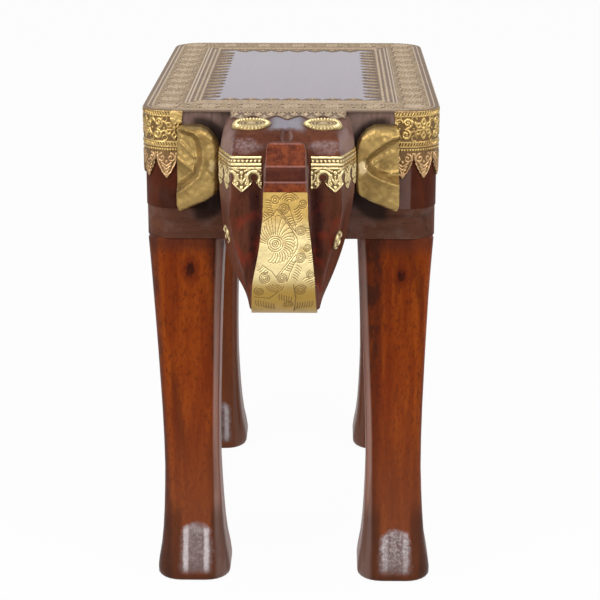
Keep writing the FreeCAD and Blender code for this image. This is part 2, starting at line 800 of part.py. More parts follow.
# The trunk's flare from its neck down to its foot, as shares of the height and of the flare
trunk_flare_shares = ((0.0, 0.0), (0.2, 0.07), (0.44, 0.4), (0.67, 0.78), (1.0, 1.0))
chin_shares = ((0.28, 0.68), (0.6, 0.18), (0.8, 0.0))


def head_bottom():
    return value(seat_top) - mm.head_height


def head_section(height_share, side_share, face_share, reach_share):
    """Six corners of the head's plan at one height: back, cheeks and flat face."""
    height = head_bottom() + mm.head_height * height_share
    side = value(head_width) / 2 * side_share
    face = value(face_width) / 2 * face_share
    return [
        ahead(-side, 0, height),
        ahead(-side, mm.head_cheek_depth, height),
        ahead(-face, mm.head_reach * reach_share, height),
        ahead(face, mm.head_reach * reach_share, height),
        ahead(side, mm.head_cheek_depth, height),
        ahead(side, 0, height),
    ]


def closed_wire(points):
    return Part.makePolygon(points + [points[0]])


def make_head_block():
    """Face and cheeks, with the sloping top, round brow, shoulders and chin cut to shape."""
    sections = [closed_wire(head_section(*shares)) for shares in head_section_shares]
    lower = Part.makeLoft(sections, True, False)
    neck = head_section(*head_section_shares[0])
    rise = value(seat_top) + mm.overrun - neck[0].z
    upper = prism(neck, Vector(0, 0, rise))
    block = lower.fuse(upper)

    # side profile: the crown falls forward, turns down over the brow and meets the chin
    fall = math.radians(mm.crown_fall)
    brow_centre_u = mm.head_reach - mm.brow_radius
    brow_centre_z = crown_height(brow_centre_u) - mm.brow_radius / math.cos(fall)
    wide = value(head_width)
    x = -wide

    def at(forward, height):
        return ahead(x, forward, height)

    back_bottom = value(board_bottom) - mm.rail_height
    bottom = head_bottom()
    crown_end = at(brow_centre_u + mm.brow_radius * math.sin(fall),
                   brow_centre_z + mm.brow_radius * math.cos(fall))
    half_turn = math.pi / 4 - fall / 2
    brow_middle = at(brow_centre_u + mm.brow_radius * math.cos(half_turn),
                     brow_centre_z + mm.brow_radius * math.sin(half_turn))
    brow_end = at(mm.head_reach, brow_centre_z)
    turn_u = mm.trunk_reach - mm.trunk_turn_radius
    chin = [at(turn_u, bottom)]
    for forward_share, rise_share in reversed(chin_shares):
        chin.append(at(turn_u * forward_share, bottom + (back_bottom - bottom) * rise_share))
    chin.append(at(0, back_bottom))
    chin_curve = Part.BSplineCurve()
    chin_curve.interpolate(chin)
    edges = [
        Part.makeLine(at(0, crown_height(0)), crown_end),
        Part.Arc(crown_end, brow_middle, brow_end).toShape(),
        Part.makeLine(brow_end, at(mm.trunk_reach, brow_centre_z)),
        Part.makeLine(at(mm.trunk_reach, brow_centre_z), at(mm.trunk_reach, bottom)),
        Part.makeLine(at(mm.trunk_reach, bottom), chin[0]),
        chin_curve.toShape(),
        Part.makeLine(chin[-1], at(0, crown_height(0))),
    ]
    profile = Part.Face(Part.Wire(edges)).extrude(Vector(2 * wide, 0, 0))
    block = block.common(profile)

    # front outline: the shoulders are rounded off
    half = value(head_width) / 2
    radius = mm.shoulder_radius
    low = bottom - mm.overrun
    top = value(seat_top)
    bend = radius * (1 - math.sqrt(2) / 2)
    left_side = ahead(-half, -mm.overrun, top - radius)
    left_top = ahead(radius - half, -mm.overrun, top)
    right_top = ahead(half - radius, -mm.overrun, top)
    right_side = ahead(half, -mm.overrun, top - radius)
    left_arc = Part.Arc(left_side, ahead(bend - half, -mm.overrun, top - bend), left_top)
    right_arc = Part.Arc(right_top, ahead(half - bend, -mm.overrun, top - bend), right_side)
    wide_left = ahead(-half - mm.overrun, -mm.overrun, top - radius)
    wide_right = ahead(half + mm.overrun, -mm.overrun, top - radius)
    low_left = ahead(-half - mm.overrun, -mm.overrun, low)
    low_right = ahead(half + mm.overrun, -mm.overrun, low)
    edges = [
        left_arc.toShape(),
        Part.makeLine(left_top, right_top),
        right_arc.toShape(),
        Part.makeLine(right_side, wide_right),
        Part.makeLine(wide_right, low_right),
        Part.makeLine(low_right, low_left),
        Part.makeLine(low_left, wide_left),
        Part.makeLine(wide_left, left_side),
    ]
    outline = Part.Face(Part.Wire(edges)).extrude(Vector(0, -2 * mm.trunk_reach, 0))
    block = block.common(outline)

    # valley between the two lobes of the brow
    start = mm.head_reach - mm.valley_length
    axis = ahead(0, mm.head_reach, crown_height(mm.head_reach)) - ahead(
        0, start, crown_height(start))
    valley = Part.makeCone(0, mm.valley_radius, mm.valley_length,
                           ahead(0, start, crown_height(start)), axis)
    return block.cut(valley)


def trunk_front_outline():
    """Prism of the trunk seen from the front: flared foot, narrow neck and rounded tip."""
    foot_z = head_bottom()
    neck_z = mm.trunk_neck_height
    top = mm.trunk_tip_height
    tip = mm.trunk_tip_width / 2
    neck = mm.trunk_neck_width / 2
    flare = mm.trunk_foot_width / 2 - neck
    corner = mm.tip_corner_radius
    bend = corner * (1 - math.sqrt(2) / 2)
    back = mm.head_cheek_depth

    def side_curve(hand):
        points = [ahead(hand * (neck + flare * flare_share), back,
                        neck_z + (foot_z - neck_z) * height_share)
                  for height_share, flare_share in trunk_flare_shares]
        curve = Part.BSplineCurve()
        curve.interpolate(points)
        return curve.toShape(), points

    right_curve, right_points = side_curve(1)
    left_curve, left_points = side_curve(-1)
    right_low = ahead(tip, back, top - corner)
    right_top = ahead(tip - corner, back, top)
    left_low = ahead(-tip, back, top - corner)
    left_top = ahead(corner - tip, back, top)
    edges = [
        left_curve,
        Part.makeLine(left_points[0], left_low),
        Part.Arc(left_low, ahead(bend - tip, back, top - bend), left_top).toShape(),
        Part.makeLine(left_top, right_top),
        Part.Arc(right_top, ahead(tip - bend, back, top - bend), right_low).toShape(),
        Part.makeLine(right_low, right_points[0]),
        right_curve,
        Part.makeLine(right_points[-1], left_points[-1]),
    ]
    wire = Part.Wire(Part.__sortEdges__(edges))
    return Part.Face(wire).extrude(Vector(0, -mm.trunk_reach, 0))


def trunk_arc(radius, centre, start_height, end_height, across):
    """Arc in the side view about a centre (forward, height), between two heights."""
    centre_u, centre_z = centre

    def at(height):
        rise = height - centre_z
        return ahead(across, centre_u + math.sqrt(radius ** 2 - rise ** 2), height)

    middle = (start_height + end_height) / 2
    return Part.Arc(at(start_height), at(middle), at(end_height)).toShape()


def turn_point(radius, degrees, across):
    """Point on the trunk's lower turn, by degrees below its foremost point."""
    angle = math.radians(degrees)
    centre_u = mm.trunk_reach - mm.trunk_turn_radius
    centre_z = head_bottom() + mm.trunk_turn_radius
    return ahead(across, centre_u + radius * math.cos(angle), centre_z - radius * math.sin(angle))


def make_trunk():
    """Trunk slab that turns up from the chin, with the loop behind it and the grooved tip."""
    width = mm.trunk_foot_width
    x = -width
    turn_z = head_bottom() + mm.trunk_turn_radius
    lean_centre = (mm.trunk_reach - mm.trunk_lean_radius, turn_z)
    first_groove = mm.tip_first_groove_height
    tip_front_u = lean_centre[0] + math.sqrt(
        mm.trunk_lean_radius ** 2 - (first_groove - turn_z) ** 2)
    radius = mm.trunk_turn_radius
    back = mm.head_reach - mm.loop_bottom_radius
    tip_back = mm.head_reach - mm.strip_thickness
    top = mm.trunk_tip_height
    crest_u = tip_front_u - mm.tip_lean
    slab_edges = [
        Part.Arc(turn_point(radius, 90, x), turn_point(radius, 45, x),
                 turn_point(radius, 0, x)).toShape(),
        trunk_arc(mm.trunk_lean_radius, lean_centre, turn_z, first_groove, x),
        Part.makeLine(ahead(x, tip_front_u, first_groove), ahead(x, crest_u, top)),
        Part.makeLine(ahead(x, crest_u, top), ahead(x, tip_back, top - mm.strip_thickness)),
        Part.makeLine(ahead(x, tip_back, top - mm.strip_thickness),
                      ahead(x, tip_back, mm.loop_top_height)),
        Part.makeLine(ahead(x, tip_back, mm.loop_top_height),
                      ahead(x, back, mm.loop_top_height)),
        Part.makeLine(ahead(x, back, mm.loop_top_height), ahead(x, back, head_bottom())),
        Part.makeLine(ahead(x, back, head_bottom()), turn_point(radius, 90, x)),
    ]
    slab = Part.Face(Part.Wire(slab_edges)).extrude(Vector(2 * width, 0, 0))
    slab = slab.common(trunk_front_outline())

    # grooves across the tip
    for height in (mm.tip_first_groove_height, mm.tip_second_groove_height):
        forward = lean_centre[0] + math.sqrt(mm.trunk_lean_radius ** 2 - (height - turn_z) ** 2)
        groove = Part.makeCylinder(mm.tip_groove_depth, 2 * width, ahead(x, forward, height),
                                   Vector(1, 0, 0))
        slab = slab.cut(groove)
    return slab


def trunk_loop():
    """The open loop between the face and the raised trunk."""
    width = value(head_width)
    x = -width
    inner_turn = mm.trunk_turn_radius - mm.loop_thickness
    inner_lean = mm.trunk_lean_radius - mm.loop_thickness
    turn_z = head_bottom() + mm.trunk_turn_radius
    lean_centre = (mm.trunk_reach - mm.trunk_lean_radius, turn_z)
    top_z = mm.loop_top_height - mm.loop_top_radius
    front_u = lean_centre[0] + math.sqrt(inner_lean ** 2 - (top_z - turn_z) ** 2)
    back_u = front_u - 2 * mm.loop_top_radius
    low_point = turn_point(inner_turn, 90, x)
    edges = [
        Part.Arc(low_point, turn_point(inner_turn, 45, x), turn_point(inner_turn, 0, x)).toShape(),
        trunk_arc(inner_lean, lean_centre, turn_z, top_z, x),
        Part.Arc(ahead(x, front_u, top_z),
                 ahead(x, front_u - mm.loop_top_radius, mm.loop_top_height),
                 ahead(x, back_u, top_z)).toShape(),
        Part.makeLine(ahead(x, back_u, top_z), low_point),
    ]
    return Part.Face(Part.Wire(edges)).extrude(Vector(2 * width, 0, 0))


def make_elephant_head():
    head = make_head_block().fuse(make_trunk())
    outline = trunk_front_outline()
    head = head.cut(trunk_loop().common(outline))
    for hand in (-1, 1):
        bore = Part.makeCylinder(
            mm.screw_diameter / 2 + mm.fit_clearance, mm.screw_length - mm.board_thickness,
            ahead(hand * mm.screw_spacing / 2, 0, value(board_bottom) + mm.board_height / 2),
            Vector(0, -1, 0))
        head = head.cut(bore)
    head = head.removeSplitter()
    if len(head.Solids) == 1:
        head = head.Solids[0]
    return finish_shape(head, "elephant_head")


def make_trunk_strip():
    """Brass sheet down the front of the trunk and under its turn."""
    width = mm.trunk_foot_width
    x = -width
    turn_z = head_bottom() + mm.trunk_turn_radius
    lean_centre = (mm.trunk_reach - mm.trunk_lean_radius, turn_z)
    skin = mm.strip_thickness
    neck = mm.trunk_neck_height
    under = mm.strip_turn_angle

    def wrap(extra):
        turn = mm.trunk_turn_radius + extra
        lean = mm.trunk_lean_radius + extra
        return [
            Part.Arc(turn_point(turn, under, x), turn_point(turn, under / 2, x),
                     turn_point(turn, 0, x)).toShape(),
            trunk_arc(lean, lean_centre, turn_z, neck, x),
        ]

    inner = wrap(0)
    outer = wrap(skin)
    ends = [
        Part.makeLine(turn_point(mm.trunk_turn_radius, under, x),
                      turn_point(mm.trunk_turn_radius + skin, under, x)),
        Part.makeLine(inner[1].Vertexes[-1].Point, outer[1].Vertexes[-1].Point),
    ]
    sheet_form = Part.Face(Part.Wire(Part.__sortEdges__(inner + outer + ends)))
    strip = sheet_form.extrude(Vector(2 * width, 0, 0)).common(trunk_front_outline())
    return finish_shape(strip, "trunk_strip")


def make_head_screws():
    """Two long screws from inside the box, through the front board, into the head."""
    screws = []
    for hand in ("-", ""):
        shank = doc.addObject("Part::Cylinder", "screw_shank")
        shank.setExpression("Radius", "sizes.screw_diameter / 2")
        shank.setExpression("Height", "sizes.screw_length")
        cap = doc.addObject("Part::Cone", "screw_cap")
        cap.setExpression("Radius1", "sizes.screw_head_diameter / 2")
        cap.setExpression("Radius2", "sizes.screw_head_diameter / 4")
        cap.setExpression("Height", "sizes.screw_head_height")
        for piece in (shank, cap):
            piece.Placement = Placement(Vector(0, 0, 0), Rotation(Vector(1, 0, 0), -90))
            piece.setExpression("Placement.Base.x", f"{hand}sizes.screw_spacing / 2")
        shank.setExpression("Placement.Base.y", "-sizes.screw_length")
        screw = doc.addObject("Part::Fuse", "head_screw")
        screw.Base = shank
        screw.Tool = cap
        screws.append(screw)
    group = doc.addObject("Part::Compound", "head_screws")
    group.Links = screws
    return finish_part(group, "head_screws", "sizes.head_offset",
                       f"-{wood_length} / 2 + sizes.board_thickness",
                       f"{board_bottom} + sizes.board_height / 2")


# Ears: a carved wooden core under a skin of sheet brass

# Corners of the ear seen from the front, as shares of its width (from the post towards the
# head) and of its height. A corner marked round is the middle of an arc.
ear_outline_shares = (
    ("corner", 0.115, 1.0),
    ("corner", 0.6, 1.0),
    ("round", 0.87, 0.935),
    ("corner", 1.0, 0.79),
    ("corner", 0.97, 0.33),
    ("round", 0.91, 0.245),
    ("corner", 0.78, 0.19),
    ("corner", 0.1, 0.0),
    ("corner", 0.0, 0.1),
    ("corner", 0.0, 0.53),
    ("corner", 0.115, 0.67),
)
ear_dish_across_share = 0.05
ear_dish_height_share = 0.62
ear_free_share = 0.45


def ear_post_side():
    """Distance from the middle of the stool to the ear's outer side, in front of the post."""
    return value(wood_width) / 2 - value(wood_width) * mm.ear_post_inset_share


def ear_width(hand):
    """An ear reaches from its post side to a gap beside the head."""
    head_side = value(head_width) / 2 + hand * mm.head_offset
    return ear_post_side() - head_side - mm.ear_head_gap


def ear_place(hand, inward, forward, rise):
    """Point of an ear: inward from its post side, forward of the box, above its lowest point."""
    return Vector(hand * (ear_post_side() - inward), -wood_front() - forward,
                  mm.ear_bottom_height + rise)


def ear_form(hand, inset):
    """Solid ear: flat outline, front that rises towards the head, and a dish open to the post."""
    width = ear_width(hand)
    edges = []
    rows = list(ear_outline_shares) + [ear_outline_shares[0]]
    points = [ear_place(hand, width * across, 0, mm.ear_height * rise)
              for _, across, rise in rows]
    index = 0
    while index < len(rows) - 1:
        if rows[index + 1][0] == "round":
            edges.append(Part.Arc(points[index], points[index + 1], points[index + 2]).toShape())
            index += 2
        else:
            edges.append(Part.makeLine(points[index], points[index + 1]))
            index += 1
    outline = Part.Wire(edges)
    if inset:
        outline = outline.makeOffset2D(-inset)
    deep = mm.ear_head_thickness + mm.overrun
    form = Part.Face(outline).extrude(Vector(0, -deep, 0))
    rise = Vector(0, 0, mm.ear_height + 2 * mm.overrun)
    post_front = mm.ear_post_thickness - inset
    head_front = mm.ear_head_thickness - inset
    slope = prism([
        ear_place(hand, -mm.overrun, 0, -mm.overrun),
        ear_place(hand, -mm.overrun, post_front, -mm.overrun),
        ear_place(hand, 0, post_front, -mm.overrun),
        ear_place(hand, width, head_front, -mm.overrun),
        ear_place(hand, width + mm.overrun, head_front, -mm.overrun),
        ear_place(hand, width + mm.overrun, 0, -mm.overrun),
    ], rise)
    form = form.common(slope)
    dish_depth = math.sqrt(mm.ear_dish_radius ** 2 - mm.ear_dish_opening ** 2)
    dish = Part.makeSphere(
        mm.ear_dish_radius + inset,
        ear_place(hand, width * ear_dish_across_share,
                  mm.ear_post_thickness + dish_depth, mm.ear_height * ear_dish_height_share))
    form = form.cut(dish)
    free = width * ear_free_share
    wedge = prism([
        ear_place(hand, free, 0, -mm.overrun),
        ear_place(hand, width + mm.overrun,
                  mm.ear_undercut * (width + mm.overrun - free) / (width - free),
                  -mm.overrun),
        ear_place(hand, width + mm.overrun, 0, -mm.overrun),
    ], rise)
    return form.cut(wedge)


def make_ears():
    for label, hand in (("left", -1), ("right", 1)):
        outer = ear_form(hand, 0)
        core = ear_form(hand, mm.ear_skin)
        finish_shape(core, f"ear_{label}")
        finish_shape(outer.cut(core), f"ear_cladding_{label}")


# Sheet brass on the head


def make_head_fringe():
    """Strip of brass leaves on the head's sloping top, against the seat border's edge."""
    body = doc.addObject("PartDesign::Body", "head_fringe_body")
    outline = new_sketch(body, "fringe_outline")
    rectangle(outline, f"-{fringe_width} / 2", "-sizes.fringe_length",
              fringe_width, "sizes.fringe_length")
    pad(body, "fringe", outline, "sizes.border_thickness")
    gap = new_sketch(body, "fringe_gap")
    run = f"({fringe_width} - sizes.fringe_pitch)"
    triangle_in(gap, f"-{run} / 2 - sizes.fringe_pitch / 2",
                "-(sizes.fringe_length - sizes.fringe_leaf_length)",
                "-(sizes.fringe_leaf_length + sizes.overrun)", "sizes.fringe_gap / 2", False)
    feature = body.newObject("PartDesign::Pocket", "fringe_gap_cut")
    feature.Profile = gap
    feature.setExpression("Length", "sizes.border_thickness")
    feature.Reversed = True
    doc.recompute()
    pattern = body.newObject("PartDesign::LinearPattern", "fringe_gap_row")
    pattern.Originals = [feature]
    pattern.Direction = (origin_plane(body, "X_Axis"), [""])
    pattern.setExpression("Length", fringe_width)
    pattern.setExpression("Occurrences", f"floor({fringe_width} / sizes.fringe_pitch) + 1")
    body.Tip = pattern
    doc.recompute()
    fall = "tan(sizes.crown_fall * 1 deg)"
    return finish_part(body, "head_fringe", "sizes.head_offset",
                       f"-{wood_length} / 2 - sizes.fringe_clearance",
                       f"{seat_top} - {fall} * sizes.fringe_clearance",
                       Rotation(Vector(1, 0, 0), mm.crown_fall))


def turned_brass(body, vertices):
    """Turn a closed half profile about the body's Z axis. A vertex holds two expressions."""
    profile = new_sketch(body, "half_profile", "XZ_Plane")
    points = [Vector(value(x), value(y), 0) for x, y in vertices]
    count = len(points)
    for corner in range(count):
        profile.addGeometry(Part.LineSegment(points[corner], points[(corner + 1) % count]), False)
    for corner in range(count):
        add_constraints(profile, [("Coincident", corner, 2, (corner + 1) % count, 1)])
    for corner, (x, y) in enumerate(vertices):
        for text, axis, direction, number in ((x, -2, "DistanceX", points[corner].x),
                                              (y, -1, "DistanceY", points[corner].y)):
            if text == "0 mm":
                add_constraints(profile, [("PointOnObject", corner, 1, axis)])
            else:
                bind(profile, Sketcher.Constraint(direction, -1, 1, corner, 1, number), text)
    turned = body.newObject("PartDesign::Revolution", "turned")
    turned.Profile = profile
    turned.ReferenceAxis = (profile, ["V_Axis"])
    turned.Angle = 360
    body.Tip = turned
    doc.recompute()
    return turned


def make_forehead_discs():
    """Low domed discs with a raised rim, on the sloping top of the head."""
    fall = "tan(sizes.crown_fall * 1 deg)"
    for label, side in (("left", "-"), ("right", "")):
        body = doc.addObject("PartDesign::Body", f"forehead_disc_{label}_body")
        turned_brass(body, (
            ("0 mm", "0 mm"),
            ("sizes.disc_radius", "0 mm"),
            ("sizes.disc_radius", "sizes.disc_thickness * 0.6"),
            ("sizes.disc_radius - sizes.disc_rim / 2", "sizes.disc_thickness"),
            ("sizes.disc_radius - sizes.disc_rim", "sizes.disc_thickness * 0.6"),
            ("0 mm", "sizes.disc_thickness"),
        ))
        finish_part(body, f"forehead_disc_{label}",
                    f"sizes.head_offset {side or '+'} {disc_spacing} / 2",
                    f"-{wood_length} / 2 - sizes.disc_reach",
                    f"{seat_top} - {fall} * sizes.disc_reach",
                    Rotation(Vector(1, 0, 0), mm.crown_fall))


def cheek_point(hand, forward, height):
    """Point on the facet between the face and the cheek, worked out between two sections."""
    share = (height - head_bottom()) / mm.head_height
    rows = list(head_section_shares)
    for upper, lower in zip(rows, rows[1:]):
        if lower[0] <= share <= upper[0]:
            mix = (share - lower[0]) / (upper[0] - lower[0])
            side, face, reach = [low + (high - low) * mix
                                 for high, low in zip(upper[1:], lower[1:])]
    side *= value(head_width) / 2
    face *= value(face_width) / 2
    reach *= mm.head_reach
    across = face + (side - face) * (reach - forward) / (reach - mm.head_cheek_depth)
    return ahead(hand * across, forward, height)


def make_eye_rosettes(head):
    """Small brass rosettes beside the eyes, trimmed to lie on the carved cheeks."""
    for label, hand in (("left", -1), ("right", 1)):
        centre = cheek_point(hand, mm.rosette_reach, mm.rosette_height)
        step = mm.rosette_radius / 2
        forward = cheek_point(hand, mm.rosette_reach + step, mm.rosette_height) - centre
        upward = cheek_point(hand, mm.rosette_reach, mm.rosette_height + step) - centre
        outward = forward.cross(upward)
        outward.normalize()
        if outward.x * hand < 0:
            outward = -outward
        deep = mm.rosette_thickness
        plate = Part.makeCylinder(mm.rosette_radius, 1.5 * deep, centre - outward * deep, outward)
        dome = Part.makeCone(mm.rosette_radius, mm.rosette_radius / 2, deep / 2,
                             centre + outward * (deep / 2), outward)
        nearly = outward * mm.rosette_clearance - head.Placement.Base
        rosette = plate.fuse(dome).cut(head.Shape.translated(nearly))
        rosette = max(rosette.Solids, key=lambda solid: solid.Volume)
        finish_shape(rosette, f"eye_rosette_{label}")


# Half a gap between two drops of the brow band, as shares of half a pitch and of the drop
brow_edge_shares = ((0.0, 0.85), (0.16, 0.6), (0.5, 0.42), (1.0, 0.0))
keyhole_height_share = 0.72


def brow_place(distance):
    """Point and outward direction on the right half of the brow, by distance from the middle."""
    face = value(face_width) / 2
    start = Vector(face, -mm.head_reach, 0)
    facet = Vector(value(head_width) / 2, -mm.head_cheek_depth, 0) - start
    if distance < face:
        return Vector(distance, -mm.head_reach, 0), Vector(0, -1, 0)
    along = facet.normalize()
    return start + along * (distance - face), Vector(-along.y, along.x, 0) * -1


def make_forehead_bands():
    """Pierced brass band across the brow, in two halves that end at the trunk's tip."""
    corners = head_section(*head_section_shares[0])
    height = Vector(0, 0, mm.brow_band_top - mm.brow_band_bottom)
    for corner in corners:
        corner.z = mm.brow_band_bottom
    inner = closed_wire(corners)
    outer = inner.makeOffset2D(mm.brow_band_thickness, 2)
    ring = Part.Face(outer).extrude(height).cut(Part.Face(inner).extrude(height))
    origin = ahead(0, 0, mm.brow_band_bottom)
    tip_half = mm.trunk_neck_width / 2 + mm.fit_clearance
    wide = value(head_width)
    deep = mm.head_reach
    back = mm.head_cheek_depth - mm.brow_first_drop / 2
    for label, hand in (("left", -1), ("right", 1)):
        near = tip_half if hand > 0 else -tip_half - wide
        region = Part.makeBox(wide, deep, height.z, origin + Vector(near, -back - deep, 0))
        band = ring.common(region)
        cuts = []
        distance = mm.brow_first_drop - mm.brow_drop_pitch / 2
        while distance < value(head_width):
            point, outward = brow_place(distance)
            point = Vector(hand * point.x, point.y, 0) + origin
            outward = Vector(hand * outward.x, outward.y, 0)
            cuts.append(notch(point, outward, mm.brow_drop_pitch, mm.brow_drop_length,
                              brow_edge_shares, 3 * mm.brow_band_thickness))
            keyhole = point + Vector(0, 0, mm.brow_drop_length * keyhole_height_share)
            cuts.append(Part.makeCylinder(
                mm.keyhole_radius, 6 * mm.brow_band_thickness,
                keyhole - outward * (3 * mm.brow_band_thickness), outward))
            distance += mm.brow_drop_pitch
        band = band.cut(Part.makeCompound(cuts))
        finish_shape(band, f"forehead_band_{label}")


# Tail

tail_outline_shares = (
    (0.5, 0.0), (0.42, 0.12), (0.3, 0.35), (0.24, 0.62), (0.32, 0.7), (0.5, 0.82), (0.3, 0.94),
    (0.0, 1.0),
)


def make_tail():
    """Carved tail on the rear board: a tapered stem with a leaf-shaped tuft."""
    right = []
    for width_share, drop_share in tail_outline_shares:
        width = mm.tail_width if drop_share < 0.65 else mm.tail_tuft_width
        right.append(Vector(width * width_share, wood_front(),
                            mm.tail_root_height - mm.tail_length * drop_share))
    left = [Vector(-point.x, point.y, point.z) for point in reversed(right[:-1])]
    tail = prism(right + left, Vector(0, mm.tail_reach, 0))
    front = [edge for edge in tail.Edges
             if all(vertex.Y > wood_front() + mm.tail_reach - mm.fit_clearance
                    for vertex in edge.Vertexes)]
    tail = tail.makeChamfer(mm.tail_width / 6, front)
    finish_shape(tail, "tail")


make_seat_board()
make_seat_border()
make_posts()
make_boards()
make_rails()
make_corner_blocks()
make_legs()
make_dowels()
make_side_bands()
elephant_head = make_elephant_head()
make_head_screws()
make_trunk_strip()
make_ears()
make_head_fringe()
make_forehead_discs()
make_eye_rosettes(elephant_head)
make_forehead_bands()
make_tail()
doc.recompute()

for piece in doc.Objects:
    if "Invalid" in piece.State or "Error" in piece.State:
        raise RuntimeError(f"{piece.Label} did not build: {piece.State}")
os.makedirs("parts", exist_ok=True)
for piece in finished_parts:
    shape = piece.Shape
    if shape.isNull() or not shape.isValid():
        raise RuntimeError(f"{piece.Label} has no valid shape")
    shape.exportStep(f"parts/{piece.Label}.step")
    box = shape.optimalBoundingBox(False)
    print(f"{piece.Label:20s} solids {len(shape.Solids)} volume {shape.Volume:10.0f} "
          f"x {box.XMin:.1f} {box.XMax:.1f} y {box.YMin:.1f} {box.YMax:.1f} "
          f"z {box.ZMin:.1f} {box.ZMax:.1f}")
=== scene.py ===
# %% [markdown]
# # A carved elephant stool
# A small wooden stool from the south of Asia: a carved elephant head looks out of its front, its
# trunk raised to its forehead, and embossed brass sheet dresses the seat, the corners, the ears and
# the trunk. The construction comes in as a fixed frame, in metres, and every piece here keeps to it.

# %% Load the frame
import bpy
import math
import numpy as np
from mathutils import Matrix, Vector


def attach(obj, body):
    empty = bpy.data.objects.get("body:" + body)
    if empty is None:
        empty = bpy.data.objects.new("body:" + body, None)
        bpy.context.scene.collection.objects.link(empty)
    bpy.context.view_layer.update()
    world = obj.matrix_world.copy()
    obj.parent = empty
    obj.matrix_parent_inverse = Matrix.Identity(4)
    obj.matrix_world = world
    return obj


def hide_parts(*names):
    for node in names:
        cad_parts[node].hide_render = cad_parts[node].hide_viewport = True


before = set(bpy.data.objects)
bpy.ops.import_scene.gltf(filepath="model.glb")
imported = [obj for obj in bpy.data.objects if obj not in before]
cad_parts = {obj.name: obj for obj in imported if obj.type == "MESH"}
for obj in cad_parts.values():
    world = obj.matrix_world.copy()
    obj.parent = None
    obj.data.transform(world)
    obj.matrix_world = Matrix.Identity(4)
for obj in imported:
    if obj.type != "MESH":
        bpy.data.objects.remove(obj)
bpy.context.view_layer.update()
mm = 0.001
print("nodes in the frame:", len(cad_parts))

# %% [markdown]
# ## Camera
# The photograph was taken from the front with a long lens, a little above the seat. Lens, place and
# tilt were fitted to the seat, the bare panel and the feet, and are written as they came out.

# %% Camera
photo_side_px = 600
focal_px = 1837.0
camera_place = (0.0310, -1.5819, 0.6644)
camera_down_degrees = 16.069
camera_left_degrees = 0.928

camera_data = bpy.data.cameras.new("photo_camera")
camera_data.sensor_fit = "HORIZONTAL"
camera_data.sensor_width = 36.0
camera_data.lens = camera_data.sensor_width * focal_px / photo_side_px
camera = bpy.data.objects.new("photo_camera", camera_data)
camera.location = camera_place
camera.rotation_euler = (math.radians(90 - camera_down_degrees), 0, math.radians(camera_left_degrees))
bpy.context.collection.objects.link(camera)
bpy.context.scene.camera = camera
bpy.context.scene.view_settings.view_transform = "Standard"
print("lens in millimetres:", round(camera_data.lens, 1))

# %% [markdown]
# ## A small language for finishes
# A finish is a tree of shader nodes, and wiring one by hand takes a line for every link. One class
# wraps a socket so that it adds, multiplies and compares like a number, and one method makes any
# other node, so each material below reads like the sentence that describes it.

# %% Sockets that can be calculated with
class Wire:
    """A value, colour or vector that flows through a finish."""

    def __init__(self, finish, socket):
        self.finish = finish
        self.socket = socket

    def math(self, operation, *others):
        return self.finish.calculate(operation, self, *others)

    def __add__(self, other):
        return self.math("ADD", other)

    __radd__ = __add__

    def __sub__(self, other):
        return self.math("SUBTRACT", other)

    def __rsub__(self, other):
        return self.finish.calculate("SUBTRACT", other, self)

    def __mul__(self, other):
        return self.math("MULTIPLY", other)

    __rmul__ = __mul__

    def __truediv__(self, other):
        return self.math("DIVIDE", other)

    def __rtruediv__(self, other):
        return self.finish.calculate("DIVIDE", other, self)

    def __pow__(self, other):
        return self.math("POWER", other)

    def __abs__(self):
        return self.math("ABSOLUTE")

    def __gt__(self, other):
        return self.math("GREATER_THAN", other)

    def __lt__(self, other):
        return self.math("LESS_THAN", other)

    def least(self, other):
        return self.math("MINIMUM", other)

    def most(self, other):
        return self.math("MAXIMUM", other)

    def ramp(self, low, high):
        """Run smoothly from 0 to 1 while the value goes from low to high."""
        return self.finish.node("ShaderNodeMapRange", {"interpolation_type": "SMOOTHSTEP"}, {
            "Value": self, "From Min": low, "From Max": high})["Result"]


class Outputs:
    """The outputs of one node, by name or place."""

    def __init__(self, finish, node):
        self.finish = finish
        self.node = node

    def __getitem__(self, name):
        return Wire(self.finish, self.node.outputs[name])


print("words of a socket:", [name for name in vars(Wire) if not name.startswith("__")])


